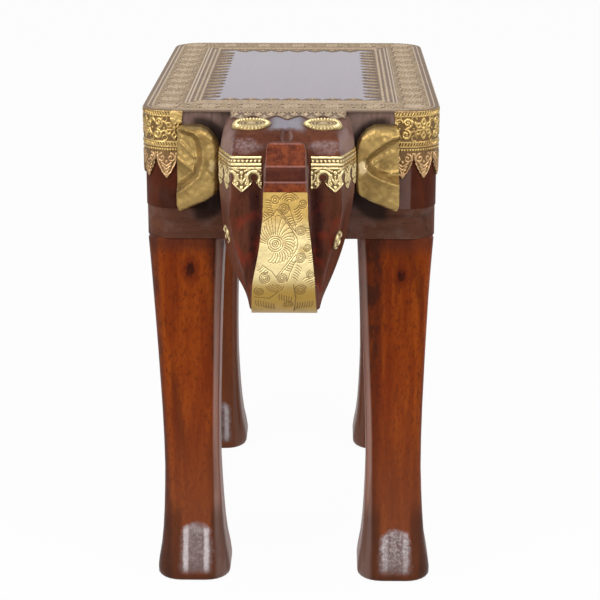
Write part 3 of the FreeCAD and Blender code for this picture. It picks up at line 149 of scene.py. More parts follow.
# %% Finishes
class Finish:
    """A tree of shader nodes, on a new material or on a new world."""

    def __init__(self, name, kind="materials"):
        self.owner = getattr(bpy.data, kind).new(name)
        self.owner.use_nodes = True
        self.tree = self.owner.node_tree
        self.tree.nodes.clear()

    def feed(self, socket, value):
        if isinstance(value, Wire):
            self.tree.links.new(value.socket, socket)
        elif hasattr(socket.default_value, "__len__") and len(socket.default_value) == 4:
            socket.default_value = tuple(value) + (1.0,)
        else:
            socket.default_value = value

    def node(self, kind, settings, inputs):
        """Any node: its settings are set first, then its inputs by name or place."""
        node = self.tree.nodes.new(kind)
        for name, setting in settings.items():
            setattr(node, name, setting)
        for name, value in inputs.items():
            self.feed(node.inputs[name], value)
        return Outputs(self, node)

    def calculate(self, operation, *values):
        inputs = dict(enumerate(values))
        return self.node("ShaderNodeMath", {"operation": operation}, inputs)["Value"]

    def mix(self, share, first, second):
        """Blend two colours: the share is 0 for the first and 1 for the second."""
        return self.node("ShaderNodeMix", {"data_type": "RGBA"}, {0: share, 6: first, 7: second})[2]

    def place(self):
        """Where a point is on the object, in metres."""
        return self.node("ShaderNodeTexCoord", {}, {})["Object"]

    def axes(self, vector=None):
        """The three parts of a vector, or of the place."""
        parts = self.node("ShaderNodeSeparateXYZ", {}, {0: vector or self.place()})
        return parts["X"], parts["Y"], parts["Z"]

    def facing(self):
        """Which way the surface looks: three values from -1 to 1."""
        return self.axes(self.node("ShaderNodeNewGeometry", {}, {})["Normal"])

    def stretched(self, x, y, z):
        """The place with each axis scaled, for grain that runs along a piece."""
        return self.node("ShaderNodeVectorMath", {"operation": "MULTIPLY"}, {
            0: self.place(), 1: (x, y, z)})["Vector"]

    def noise(self, vector, scale, detail=3.0, roughness=0.5, distortion=0.0):
        return self.node("ShaderNodeTexNoise", {}, {
            "Vector": vector, "Scale": scale, "Detail": detail, "Roughness": roughness,
            "Distortion": distortion})["Fac"]

    def dimples(self, scale):
        """Soft round hollows, as a hammer leaves them."""
        return self.node("ShaderNodeTexVoronoi", {"feature": "SMOOTH_F1"}, {
            "Vector": self.place(), "Scale": scale})["Distance"]

    def dents(self):
        """Slow unevenness of a surface that was finished by hand."""
        return self.noise(self.place(), 60.0)

    def crest(self):
        """The height of the relief that a stamped sheet carries, 0 in the hollows and 1 on top."""
        return self.node("ShaderNodeAttribute", {"attribute_name": "crest"}, {})["Fac"]

    def surface(self, heights=(), **sockets):
        """Finish the tree. Heights are pairs of a value and its depth in metres."""
        names = {"specular": "Specular IOR Level", "coat_ior": "Coat IOR"}
        inputs = {names.get(name, name.replace("_", " ").title()): value
                  for name, value in sockets.items()}
        for height, depth in heights:
            bump = {"Height": height, "Distance": depth, "Strength": 1.0}
            if "Normal" in inputs:
                bump["Normal"] = inputs["Normal"]
            inputs["Normal"] = self.node("ShaderNodeBump", {}, bump)["Normal"]
        return self.show(self.node("ShaderNodeBsdfPrincipled", {}, inputs)["BSDF"])

    def show(self, shader, kind="Material"):
        """End the tree in its output, and give back what it belongs to."""
        self.node("ShaderNodeOutput" + kind, {}, {"Surface": shader})
        return self.owner


print("words of a finish:", [name for name in vars(Finish) if not name.startswith("__")])

# %% [markdown]
# ## Floor and light
# The stool stands on seamless white, lit softly from both sides and from above. The floor is pale
# paint that only the camera and glossy rays see as white, so it still takes the stool's shadow and
# no extra light washes out the wood.

# %% Floor and backdrop
floor_whiteness = 0.96
floor_half = 6.0


def camera_sees(finish):
    """1 for rays from the camera or a mirror-like bounce, 0 for light that spreads."""
    path = finish.node("ShaderNodeLightPath", {}, {})
    return path["Is Camera Ray"].most(path["Is Glossy Ray"]).most(path["Is Transmission Ray"])


def pale_floor():
    finish = Finish("pale_floor")
    paint = finish.node("ShaderNodeBsdfDiffuse", {}, {"Color": (0.86, 0.86, 0.85)})
    white = finish.node("ShaderNodeEmission", {}, {"Color": (1.0, 1.0, 1.0), "Strength": 1.0})
    mixed = finish.node("ShaderNodeMixShader", {}, {
        0: camera_sees(finish) * floor_whiteness, 1: paint["BSDF"], 2: white["Emission"]})
    return finish.show(mixed["Shader"])


floor_mesh = bpy.data.meshes.new("floor")
floor_mesh.from_pydata([(x * floor_half, y * floor_half, 0)
                        for x, y in ((-1, -1), (1, -1), (1, 1), (-1, 1))], [], [(0, 1, 2, 3)])
floor = bpy.data.objects.new("floor", floor_mesh)
floor.data.materials.append(pale_floor())
bpy.context.collection.objects.link(floor)
print("floor side in metres:", 2 * floor_half)

# %% Studio light
room = Finish("studio", "worlds")
room_light = room.node("ShaderNodeBackground", {}, {
    "Color": (1.0, 1.0, 1.0), "Strength": 0.36 + camera_sees(room) * 0.64})
bpy.context.scene.world = room.show(room_light["Background"], "World")
lamps_aim = (0, 0, 0.25)


def softbox(name, place, width, height, watts):
    """A soft rectangular lamp at a place, turned towards the stool."""
    data = bpy.data.lights.new(name, "AREA")
    data.shape = "RECTANGLE"
    data.size = width
    data.size_y = height
    data.energy = watts
    lamp = bpy.data.objects.new(name, data)
    lamp.location = place
    lamp.rotation_euler = (Vector(lamps_aim) - Vector(place)).to_track_quat("-Z", "Y").to_euler()
    bpy.context.collection.objects.link(lamp)


softbox("left_softbox", (-1.6, -1.5, 1.1), 0.9, 1.3, 20)
softbox("right_softbox", (1.7, -1.3, 1.1), 0.9, 1.3, 14)
softbox("top_softbox", (0.0, -0.9, 2.0), 1.2, 1.0, 15)
softbox("front_softbox", (0.0, -2.6, 0.95), 1.3, 0.8, 4)

# %% [markdown]
# ## Grain of stained wood
# All the wood is one hardwood under different stains. A picture wrapped round each piece would
# stretch at the corners. Noise that is stretched along the fibres runs through the solid as real
# fibres do, with wide rings, fine figure and open pores.

# %% Grain
def grain(finish, pale, warm, dark, along, streak=0.5, pores=0.5, grain_mm=5.0):
    """Colour, figure and pores of wood, with the scale of each axis along the fibres."""
    fibre = finish.stretched(*along)
    fine_scale = 1000.0 / grain_mm
    wander = finish.noise(finish.place(), 9.0, 2.0)
    rings = finish.noise(fibre, fine_scale / 8, 4.0, 0.6, 0.6)
    fine = finish.noise(fibre, fine_scale, 5.0, 0.65)
    hair = finish.noise(fibre, fine_scale * 4, 3.0, 0.7)
    figure = (rings * 0.62 + fine * 0.38 + (wander - 0.5) * 0.25).ramp(0.3, 0.7)
    streaks = finish.noise(fibre, fine_scale / 5, 3.0, 0.5, 1.4).ramp(0.54, 0.7) * streak
    pore = hair.ramp(0.58, 0.72) * pores
    colour = finish.mix(streaks, finish.mix(figure, warm, pale), dark)
    return finish.mix(pore, colour, dark), figure, pore


upright = (1.0, 1.0, 0.2)
print("grain is stretched", round(1 / upright[2]), "times along an upright piece")

# %% [markdown]
# ## Legs: orange-red stain
# The stain glows orange where it is thin and gathers in red streaks, near the edges and under the
# box. Each front leg shows a knot. Noise of several widths gives the marks, and the place on the
# leg says where each of them is strong.

# %% Stain of the legs
amber = (0.31, 0.062, 0.006)
cherry = (0.175, 0.024, 0.003)
burnt = (0.030, 0.006, 0.003)
# Middle of each knot across and up, and its half width and half height, in metres
knots = ((-0.0822, 0.2735, 0.0040, 0.0066), (0.0903, 0.268, 0.0034, 0.0056))


def knot(finish, colour, middle_x, middle_z, wide, tall):
    """A dark knot with a reddish edge on the front of a leg."""
    x, y, z = finish.axes()
    ragged = finish.noise(finish.stretched(1.0, 1.0, 0.6), 420.0, 4.0, 0.75) - 0.5
    away = ((x - middle_x) / wide) ** 2 + ((z - middle_z) / tall) ** 2 + ragged * 4.0
    ahead = y < -0.1
    colour = finish.mix(away.ramp(5.5, 0.8) * ahead * 0.6, colour, (0.10, 0.012, 0.004))
    return finish.mix(away.ramp(1.4, 0.2) * ahead * 0.9, colour, burnt)


def leg_stain(finish):
    """Colour and pores of a leg: streaks, specks, a grey-brown foot, a dark top and the knots."""
    colour, _, pore = grain(finish, amber, cherry, burnt, (1.0, 1.0, 0.12), streak=0.55)
    height = finish.axes()[2]
    band = finish.noise(finish.stretched(1.0, 1.0, 0.05), 95.0, 2.0, 0.5)
    speckle = finish.noise(finish.stretched(1.0, 1.0, 0.45), 420.0, 3.0, 0.7)
    for share, stain in ((band.ramp(0.52, 0.64) * 0.45, (0.13, 0.014, 0.003)),
                         (speckle.ramp(0.48, 0.66) * 0.65, (0.10, 0.016, 0.004)),
                         (height.ramp(0.22, 0.02) * 0.55, (0.165, 0.052, 0.022)),
                         (height.ramp(0.282, 0.296) * 0.7, (0.085, 0.022, 0.012))):
        colour = finish.mix(share, colour, stain)
    for place in knots:
        colour = knot(finish, colour, *place)
    return colour, pore


print("knots at heights of", [round(place[1] / mm) for place in knots], "mm")

# %% [markdown]
# ## Legs: painted highlights on the corners and toes
# The corner towards the middle of the stool is painted pale as a highlight, with dark mottled stain
# beside it, and thick lacquer on each toe shines in two streaks. A lamp could draw such highlights,
# but only for one view, so they are painted into the lacquer, with painted shade round them on the
# foot. The rear legs are painted darker, as shade.

# %% Stain, painted light and lacquer of the legs
legs_middle_x = 0.0039
leg_middle_x = 0.0847
toe_patch_half = 0.0115
toe_patch_low = 0.006
toe_patch_high = 0.047
toe_streak_x = 0.0088


def leg_edges_and_painted_light(finish, colour, in_front):
    """Dark mottled stain near both edges, a painted highlight on the corner towards the middle, and
    the rear legs painted darker as shade. Gives the colour and corner.
    """
    x, _, z = finish.axes()
    look_x, look_y, _ = finish.facing()
    to_middle = leg_middle_x - abs(x - legs_middle_x)
    blot = finish.noise(finish.stretched(1.0, 1.0, 0.4), 130.0, 4.0, 0.7).ramp(0.4, 0.6)
    shade = to_middle.ramp(0.0145 - z * 0.02, 0.0185) * look_y.ramp(-0.5, -0.85) * in_front
    colour = finish.mix(shade * (0.4 + blot * 0.45 * z.ramp(0.14, 0.22)), colour,
                        (0.040, 0.012, 0.007))
    outer = to_middle.ramp(-0.0175 - z * 0.025, -0.0225 - z * 0.025) * in_front
    colour = finish.mix(outer * (0.4 + blot * 0.35), colour, (0.060, 0.022, 0.016))
    inward = look_x * (1 - 2 * (x > 0))
    # painted highlight: the corner that faces the middle of the stool is painted pale
    corner = inward.ramp(0.3, 0.55) * inward.ramp(0.97, 0.8) * look_y.ramp(0.0, -0.25)
    painted_sheen = corner * finish.noise(finish.stretched(1.0, 1.0, 0.1), 120.0).ramp(0.1, 0.5)
    colour = finish.mix(painted_sheen * (0.1 + in_front * 0.42), colour, (0.47, 0.29, 0.24))
    # painted shade: the rear legs are painted darker and browner
    return finish.mix((1 - in_front) * 0.55, colour, (0.115, 0.042, 0.020)), corner


def toe_lacquer_and_painted_highlight(finish, colour, in_front):
    """Painted highlight of two pale streaks, a darker painted reflection between them, and painted
    shade on the flanks of the foot. Gives the colour, patch and mottling.
    """
    x, _, z = finish.axes()
    look_y = finish.facing()[1]
    away = abs(abs(x - legs_middle_x) - leg_middle_x)
    right = (x > 0) * 1.0
    ragged = (finish.noise(finish.place(), 190.0, 5.0, 0.75) - 0.5) * 0.010
    arch = (away / toe_patch_half) ** 2 * 0.005 + right * 0.005
    patch = ((away + ragged + z * 0.04).ramp(toe_patch_half + 0.005, toe_patch_half - 0.001)
             * (z + ragged).ramp(toe_patch_low, toe_patch_low + 0.006)
             * (z + ragged + arch).ramp(toe_patch_high + 0.005, toe_patch_high - 0.002)
             * look_y.ramp(-0.3, -0.7))
    # painted shade on the flanks of the foot and low down near the floor
    flank = (away.ramp(0.0105, 0.0145) * z.ramp(0.075, 0.05) + z.ramp(0.013, 0.004)).least(1.0)
    colour = finish.mix(flank * in_front * look_y.ramp(0.2, -0.4) * 0.6, colour,
                        (0.042, 0.013, 0.006))
    mottle = finish.noise(finish.place(), 330.0, 4.0, 0.85).ramp(0.38, 0.66)
    streak = (abs(away + ragged * 0.15 - toe_streak_x).ramp(0.0032, 0.0010)
              * z.ramp(0.004, 0.016))
    top = z.ramp(toe_patch_high - 0.009, toe_patch_high - 0.004)
    shine = patch * (streak * (0.72 + mottle * 0.2) * (1 - right * 0.6) + top * 0.15
                     + mottle * (0.3 + right * 0.3) * z.ramp(0.0, 0.03)).least(1.0)
    # painted reflection: the patch between the streaks is greyed darker
    colour = finish.mix(patch * 0.8, colour, (0.115, 0.075, 0.073))
    # painted highlight: two pale streaks on each toe
    colour = finish.mix(shine * (0.7 + in_front * 0.3) * 0.82, colour, (0.68, 0.60, 0.61))
    return colour, patch, mottle


def leg_finish():
    finish = Finish("leg_wood")
    _, y, z = finish.axes()
    in_front = y.ramp(0.06, 0.0)
    colour, pore = leg_stain(finish)
    colour, corner = leg_edges_and_painted_light(finish, colour, in_front)
    colour, patch, mottle = toe_lacquer_and_painted_highlight(finish, colour, in_front)
    coat = (z.ramp(0.13, 0.03) * 0.08 + corner * 0.25 + patch * 0.5).least(1.0)
    return finish.surface(
        heights=((1 - pore, 0.0003), (finish.dents(), 0.0006), (mottle * patch, 0.00025)),
        base_color=colour, roughness=0.34 + pore * 0.1 - patch * 0.1, specular=0.05,
        coat_weight=coat, coat_roughness=0.12, coat_ior=1.6)


leg_wood = leg_finish()
print("nodes in the leg finish:", len(leg_wood.node_tree.nodes))

# %% [markdown]
# ## Head: the same wood, darker
# The head is stained dark brown, with a redder trunk tip between dark grooves; the band between
# the grooves is painted shade and their edges painted highlights. A grey sheen is painted on the
# cheeks, the valleys beside the trunk are painted dark as shade, and the lobes of the brow carry
# painted highlights. Each of these is one mask, made from the place or the facing, and one colour
# that shows through it.

# %% Tip, valleys and painted sheen
head_middle = -1.6
head_x = head_middle * mm
tip_foot = 0.3535
tip_ahead = -0.2235
tip_edges = (0.3690, 0.3803, 0.3955)


def head_stain(finish):
    """Colour and pores of the head, and the mask of its redder tip. The band between the tip's grooves
    is painted shade, their edges painted highlights, and the valleys beside the trunk painted shade.
    """
    x, y, z = finish.axes()
    colour, _, pore = grain(finish, (0.165, 0.052, 0.026), (0.085, 0.024, 0.012),
                            (0.022, 0.007, 0.005), upright, streak=0.45, pores=0.4)
    tip = z.ramp(tip_foot - 0.001, tip_foot + 0.001) * y.ramp(tip_ahead + 0.001, tip_ahead - 0.001)
    cloud = finish.noise(finish.place(), 150.0, 4.0, 0.7).ramp(0.35, 0.65)
    red_wood = finish.mix(cloud, (0.085, 0.016, 0.007), (0.235, 0.050, 0.015))
    colour = finish.mix(tip * 0.85, colour, red_wood)
    # painted shade on the band between the tip's grooves, which faces down
    between = z.ramp(tip_edges[0] - 0.002, tip_edges[0] + 0.0005) * z.ramp(
        tip_edges[1] + 0.0002, tip_edges[1] - 0.0013)
    colour = finish.mix(tip * between * 0.75, colour, (0.050, 0.014, 0.010))
    # painted highlights along the tip's grooves and its top edge
    for edge in tip_edges:
        colour = finish.mix(tip * abs(z - edge).ramp(0.0010, 0.0003) * 0.55, colour,
                            (0.42, 0.20, 0.17))
    # painted shade in the valleys beside the trunk, with dark specks all over
    beside = (abs(abs(x - head_x) - 0.0235).ramp(0.0075, 0.002)
              * z.ramp(0.285, 0.31) * z.ramp(0.372, 0.352))
    speck = finish.noise(finish.stretched(1.0, 1.0, 0.5), 360.0, 3.0, 0.7).ramp(0.5, 0.68)
    painted_shade_and_specks = (beside * 0.7 * (1 - tip) + speck * 0.35).least(1.0)
    return finish.mix(painted_shade_and_specks, colour, (0.022, 0.005, 0.006)), pore, tip


def head_painted_sheen_and_red(finish, colour, bloom, tip):
    """A painted grey sheen on the sides and the turned facets, and redder wood in patches low on the
    front.
    """
    z = finish.axes()[2]
    look_x, look_y, _ = finish.facing()
    aside = abs(look_x)
    # painted sheen: the sides and the turned facets take a grey reflection
    sides = aside.ramp(0.45, 0.85) * z.ramp(0.33, 0.39)
    colour = finish.mix(sides * (0.25 + bloom * 0.4), colour, (0.32, 0.225, 0.20))
    turn = aside.ramp(0.36, 0.5) * aside.ramp(0.95, 0.75) * look_y.ramp(0.0, -0.3)
    colour = finish.mix(turn * bloom * 0.16 * (1 - tip), colour, (0.33, 0.22, 0.22))
    red_cloud = finish.noise(finish.place(), 70.0, 2.0).ramp(0.45, 0.7)
    red = aside.ramp(0.7, 0.3) * z.ramp(0.36, 0.33) * red_cloud
    return finish.mix(red * 0.6, colour, (0.23, 0.030, 0.014))


print("grooves of the tip at", [round(edge / mm, 1) for edge in tip_edges], "mm")

# %% Painted highlights and polish on the brow
def head_finish():
    finish = Finish("head_wood")
    x, y, z = finish.axes()
    aside = abs(x - head_x)
    colour, pore, tip = head_stain(finish)
    # bloom here mottles the painted sheen and highlights of the head
    bloom = finish.noise(finish.place(), 55.0, 4.0, 0.6).ramp(0.35, 0.65)
    colour = head_painted_sheen_and_red(finish, colour, bloom, tip)
    # two speckled patches of painted highlight on the lobes of the brow
    lobe = ((aside - 0.0315) / 0.0135) ** 2 + ((z - 0.3905) / 0.0050) ** 2
    speckle = finish.noise(finish.place(), 380.0, 3.0, 0.7).ramp(0.35, 0.65)
    shine = (lobe + (bloom - 0.5) * 0.8).ramp(1.5, 0.4) * y.ramp(-0.19, -0.2) * (1 - tip)
    colour = finish.mix(shine * (0.03 + speckle * 0.27), colour, (0.42, 0.31, 0.32))
    # a sky-grey patch of painted reflection on the crown, between the discs
    crown_painted_reflection = (aside.ramp(0.0165, 0.007) * z.ramp(0.392, 0.397) * finish.facing()[2].ramp(0.5, 0.85)
                 * (y + aside * 0.5 + (bloom - 0.5) * 0.006).ramp(-0.196, -0.186))
    colour = finish.mix(crown_painted_reflection * 0.6, colour, (0.36, 0.38, 0.46))
    return finish.surface(
        heights=((1 - pore, 0.00025), (finish.dents(), 0.0007), (speckle * shine, 0.0002)),
        base_color=colour, roughness=0.4 + pore * 0.1, specular=0.06,
        coat_weight=(shine * 0.22 + 0.035) * (1 - tip), coat_roughness=0.16, coat_ior=1.5)


head_wood = head_finish()
print("nodes in the head finish:", len(head_wood.node_tree.nodes))

# %% [markdown]
# ## Box and plank: nearly black-brown
# The box under the seat is dull and dark, with painted shadow in a ring round each ear, and its
# upper arrises pale, partly from wear and partly as painted highlight. The plank shows a smooth
# lilac-grey shine on top, its violet tint painted as a reflection under a real coat, and dull end
# grain on its front. One function takes the stain of each piece of the box.

# %% Box and plank
painted_shadow_brown = (0.012, 0.006, 0.005)


def shadow_round_ears(finish):
    """1 on the board in a ring round each ear, where shadow is painted."""
    x, y, z = finish.axes()
    ring = ((abs(x) - 0.0735) / 0.0265) ** 2 + ((z - 0.3575) / 0.0365) ** 2
    return (ring.ramp(1.55, 1.15) * abs(x).ramp(0.082, 0.074) * abs(x).ramp(0.040, 0.050)
            * (y < -0.1) * (y > -0.145))


def box_finish(name, pale, warm, dark, along, bloom, sheen_inside=None, **figure_settings):
    """Dull dark wood, with a grey bloom where it is dusty, pale upper arrises that are partly wear and
    partly painted highlight, and painted shadow round the ears.

    Sheen inside is how far from the middle, in metres, the right-hand post carries a painted grey
    sheen.
    """
    finish = Finish(name)
    colour, figure, pore = grain(finish, pale, warm, dark, along, **figure_settings)
    dust = finish.noise(finish.place(), 48.0, 4.0, 0.65).ramp(0.42, 0.68)
    colour = finish.mix(dust * bloom, colour, (0.22, 0.165, 0.15))
    if sheen_inside:
        # painted sheen: a grey band on the front of the right-hand post
        x = finish.axes()[0]
        painted_sheen = x.ramp(sheen_inside + 0.001, sheen_inside - 0.001) * (x > 0)
        colour = finish.mix(painted_sheen * 0.5, colour, (0.20, 0.13, 0.115))
    _, look_y, look_z = finish.facing()
    # arrises that face up are painted pale: partly wear, partly painted highlight
    arris = (look_z * abs(look_y)).ramp(0.2, 0.33)
    colour = finish.mix(arris * 0.55, colour, (0.40, 0.29, 0.25))
    # painted shadow in a ring round each ear
    colour = finish.mix(shadow_round_ears(finish) * 0.8, colour, painted_shadow_brown)
    return finish.surface(
        heights=((1 - pore, 0.0004), (finish.dents(), 0.0008), (figure, 0.0002)),
        base_color=colour, roughness=0.52 + figure * 0.12, specular=0.06)


def plank_finish():
    finish = Finish("panel_wood")
    # the top's violet tint is a painted reflection of the backdrop, under a real coat
    top, figure, _ = grain(finish, (0.13, 0.075, 0.13), (0.10, 0.055, 0.10),
                           (0.05, 0.035, 0.045), (1.0, 0.12, 1.0), streak=0.2, pores=0.1)
    side = grain(finish, (0.30, 0.20, 0.165), (0.15, 0.095, 0.08), (0.035, 0.02, 0.017),
                 (1.0, 1.0, 0.16), streak=0.6, pores=0.8, grain_mm=3.0)[0]
    # painted shadow in a ring round each ear
    side = finish.mix(shadow_round_ears(finish) * 0.85, side, painted_shadow_brown)
    on_side = finish.facing()[2].ramp(0.8, 0.5)
    return finish.surface(
        heights=((figure, 0.00002),), base_color=finish.mix(on_side, top, side),
        roughness=0.3 + on_side * 0.25, specular=0.1, coat_weight=(1 - on_side) * 0.61,
        coat_roughness=0.06, coat_ior=1.55)


rail_wood = box_finish("rail_wood", (0.135, 0.052, 0.030), (0.080, 0.030, 0.018),
                       (0.02, 0.009, 0.006), (0.16, 1.0, 1.0), bloom=0.25)
post_wood = box_finish("post_wood", (0.092, 0.021, 0.008), (0.053, 0.012, 0.006),
                       (0.018, 0.006, 0.004), upright, bloom=0.05, sheen_inside=0.0965)
board_wood = box_finish("board_wood", (0.14, 0.075, 0.060), (0.075, 0.036, 0.028),
                        (0.022, 0.010, 0.008), upright, bloom=0.22, streak=0.7, pores=0.8,
                        grain_mm=3.0)
panel_wood = plank_finish()
print("woods:", [item.name for item in bpy.data.materials if item.name.endswith("wood")])

# %% [markdown]
# ## Brass
# All the metal is thin sheet, beaten from behind over the wood and polished on its high points, so
# the hollows keep a dark brown patina. Each raised ornament is real geometry that carries its own
# height, from 0 in the hollow to 1 on the crest, and the finish turns that into tarnish and shine.

# %% Beaten brass
ear_glint_x = 0.059
ear_glint_z = 0.365


def spotted(finish, colour, spot, scale, detail, roughness, distortion, share):
    """Dull spots of one colour, as wide as the scale makes them."""
    dull = finish.noise(finish.place(), scale, detail, roughness, distortion).ramp(0.46, 0.68)
    return finish.mix(dull * share, colour, spot)


def brass(name, bright, tarnish, hollow, rough, hammer_mm, hammer_depth, patina,
          spot=None, spots=0.0, low=None, metal=1.0, glint=None):
    """Beaten brass: bright crests, tarnished flats, dark hollows and dull spots.

    Low is a pair of a height in metres and a colour that the crests take below it. Glint is the
    colour of a painted highlight on the rim of each ear, next to the head.
    """
    finish = Finish(name)
    x, _, z = finish.axes()
    crest = finish.crest()
    blotch = finish.noise(finish.place(), 38.0, 4.0, 0.6)
    dimples = finish.dimples(1000.0 / hammer_mm)
    scratch = finish.noise(finish.stretched(1.0, 0.25, 1.0), 900.0)
    shine = (crest * 0.75 + blotch * 0.45 + dimples * 0.25).ramp(0.2, 0.75)
    colour = finish.mix(shine, tarnish, bright)
    if spot:
        colour = spotted(finish, colour, spot, 52.0, 3.0, 0.55, 0.4, spots)
    if low:
        colour = finish.mix(z.ramp(low[0], low[0] - 0.002) * (0.35 + shine * 0.45), colour, low[1])
    if spot:
        colour = spotted(finish, colour, spot, 240.0, 4.0, 0.75, 0.0, spots * 0.6)
    dirt = ((1 - crest) * patina + (blotch - 0.5) * 0.5).ramp(0.25, 0.9)
    colour = finish.mix(dirt * 0.9, colour, hollow)
    if glint:
        # painted highlight on the rim of each ear, next to the head
        away = ((abs(x - head_x) - ear_glint_x) / 0.0034) ** 2 + ((z - ear_glint_z) / 0.0048) ** 2
        ragged = finish.noise(finish.place(), 210.0, 4.0, 0.7) - 0.5
        painted_glare = (away + ragged * 5.0).ramp(1.6, 0.2)
        colour = finish.mix(painted_glare * (0.3 + (x > 0) * 0.5), colour, glint)
    return finish.surface(
        heights=((dimples, hammer_depth), (scratch, 0.00005)), base_color=colour,
        roughness=rough + (1 - shine) * 0.2 + scratch * 0.08, metallic=metal - dirt * 0.35)


bright_brass = brass("bright_brass", (0.72, 0.57, 0.29), (0.44, 0.30, 0.12), (0.08, 0.045, 0.016),
                     0.22, 2.2, 0.0003, 0.7)
band_brass = brass("band_brass", (0.56, 0.39, 0.145), (0.35, 0.215, 0.065), (0.13, 0.068, 0.024),
                   0.26, 2.2, 0.0003, 0.8, spot=(0.24, 0.13, 0.045), spots=0.55,
                   low=(0.3725, (0.48, 0.29, 0.155)))
seat_brass = brass("seat_brass", (0.56, 0.425, 0.285), (0.365, 0.255, 0.165), (0.11, 0.065, 0.045),
                   0.36, 2.0, 0.0004, 0.7)
ear_brass = brass("ear_brass", (0.37, 0.245, 0.082), (0.27, 0.18, 0.07), (0.10, 0.06, 0.022),
                  0.34, 4.0, 0.0006, 0.3, spot=(0.18, 0.108, 0.03), spots=0.8, metal=0.82,
                  glint=(0.85, 0.66, 0.36))
print("brasses:", [item.name for item in bpy.data.materials if item.name.endswith("brass")])


# %% Engraved brass and steel
def trunk_finish():
    """Sheet down the trunk: a painted highlight where a glare falls on its middle, and painted shade,
    darker and browner, under the turn.
    """
    finish = Finish("trunk_brass")
    z = finish.axes()[2]
    blotch = finish.noise(finish.place(), 55.0, 4.0, 0.6)
    # painted highlight: a pale glare on the middle of the sheet
    painted_glare = z.ramp(0.284, 0.303) * z.ramp(0.350, 0.322) * blotch.ramp(0.2, 0.5)
    colour = finish.mix(painted_glare, (0.46, 0.30, 0.09), (0.86, 0.71, 0.37))
    # painted shade under the turn of the trunk
    colour = finish.mix(z.ramp(0.300, 0.282) * 0.8, colour, (0.43, 0.265, 0.06))
    olive = finish.noise(finish.place(), 70.0, 3.0, 0.6, 0.5).ramp(0.5, 0.7) * (1 - painted_glare * 0.6)
    colour = finish.mix(olive * 0.42, colour, (0.26, 0.17, 0.035))
    cut = finish.crest().ramp(0.85, 0.2)
    colour = finish.mix(cut * 0.75, colour, (0.14, 0.075, 0.02))
    scratch = finish.noise(finish.stretched(1.0, 1.0, 0.25), 900.0)
    return finish.surface(
        heights=((finish.dimples(320.0), 0.0003), (scratch, 0.00005)), base_color=colour,
        roughness=0.3 + blotch * 0.15 + scratch * 0.06, metallic=1 - cut * 0.3)


trunk_brass = trunk_finish()
steel = Finish("steel").surface(base_color=(0.6, 0.6, 0.62), metallic=1.0, roughness=0.35)
print("finishes in all:", len(bpy.data.materials))

# %% [markdown]
# ## Strokes of a stamped sheet
# Embossed brass is flat sheet that was cut to an outline and beaten up from behind. So each sheet
# starts as a flat pattern of strokes, in millimetres. Displacing in the shader would be quicker to
# write, but the shape would be missing from the exported part.

# %% Strokes and bosses
arc_step_degrees = 24
spiral_steps = 14
spiral_reach = 0.86


def turned(x, y, radius, degrees):
    """A point at a distance and an angle from another."""
    angle = math.radians(degrees)
    return (x + radius * math.cos(angle), y + radius * math.sin(angle))


def nearest_on(x0, y0, x1, y1, x, y):
    """The nearest point of a stroke for many points, and how far away it is."""
    run = max((x1 - x0) ** 2 + (y1 - y0) ** 2, 1e-9)
    share = np.clip(((x - x0) * (x1 - x0) + (y - y0) * (y1 - y0)) / run, 0, 1)
    spot_x = x0 + share * (x1 - x0)
    spot_y = y0 + share * (y1 - y0)
    return spot_x, spot_y, np.hypot(x - spot_x, y - spot_y)


class Relief:
    """Lines and bosses on the flat pattern of a sheet, in millimetres."""

    def __init__(self):
        self.strokes = []

    def line(self, points, wide, high):
        for (x0, y0), (x1, y1) in zip(points, points[1:]):
            self.strokes.append((x0, y0, x1, y1, wide / 2, high))

    def boss(self, x, y, wide, high):
        self.strokes.append((x, y, x, y, wide / 2, high))

    def arc(self, x, y, radius, first, last, wide, high):
        steps = max(3, int(abs(last - first) / arc_step_degrees))
        self.line([turned(x, y, radius, first + (last - first) * step / steps)
                   for step in range(steps + 1)], wide, high)

    def ring(self, x, y, radius, wide, high):
        self.arc(x, y, radius, 0, 360, wide, high)

    def spiral(self, x, y, radius, first, turns, wide, high):
        """A curl that winds in to its middle."""
        steps = int(abs(turns) * spiral_steps) + 2
        self.line([turned(x, y, radius * (1 - spiral_reach * step / steps),
                          first + 360 * turns * step / steps)
                   for step in range(steps + 1)], wide, high)

    def heights(self, x, y):
        """The height of the pattern at many points: the highest stroke over each of them."""
        order = np.argsort(x)
        sorted_x = x[order]
        sorted_y = y[order]
        level = np.zeros(len(x))
        for x0, y0, x1, y1, half, high in self.strokes:
            first = np.searchsorted(sorted_x, min(x0, x1) - half)
            last = np.searchsorted(sorted_x, max(x0, x1) + half)
            away = nearest_on(x0, y0, x1, y1, sorted_x[first:last], sorted_y[first:last])[2]
            rise = high * np.clip(1 - (away / half) ** 2, 0, 1) ** 0.6
            level[first:last] = np.maximum(level[first:last], rise)
        result = np.empty(len(x))
        result[order] = level
        return result


trial = Relief()
trial.ring(0, 0, 5.0, 1.0, 0.9)
print("strokes in a ring:", len(trial.strokes))


# %% [markdown]
# ## Cut a sheet to its outline
# A fine grid is laid over the outline. Points inside stay, points near it slide onto the line, and
# cells that lose a corner become triangles. Unlike a cut with a knife tool, that keeps all faces
# small and even, which a relief needs.

# %% Cut a grid to an outline
far_mm = 9.0


def lies_inside(loops, x, y):
    """Which points lie inside the outline, by counting its crossings on one side of them."""
    inside = np.zeros(x.shape, bool)
    for loop in loops:
        for (x0, y0), (x1, y1) in zip(loop, loop[1:] + loop[:1]):
            level = (y >= min(y0, y1)) & (y < max(y0, y1))
            inside[level] ^= x[level] > x0 + (y[level] - y0) * (x1 - x0) / (y1 - y0)
    return inside


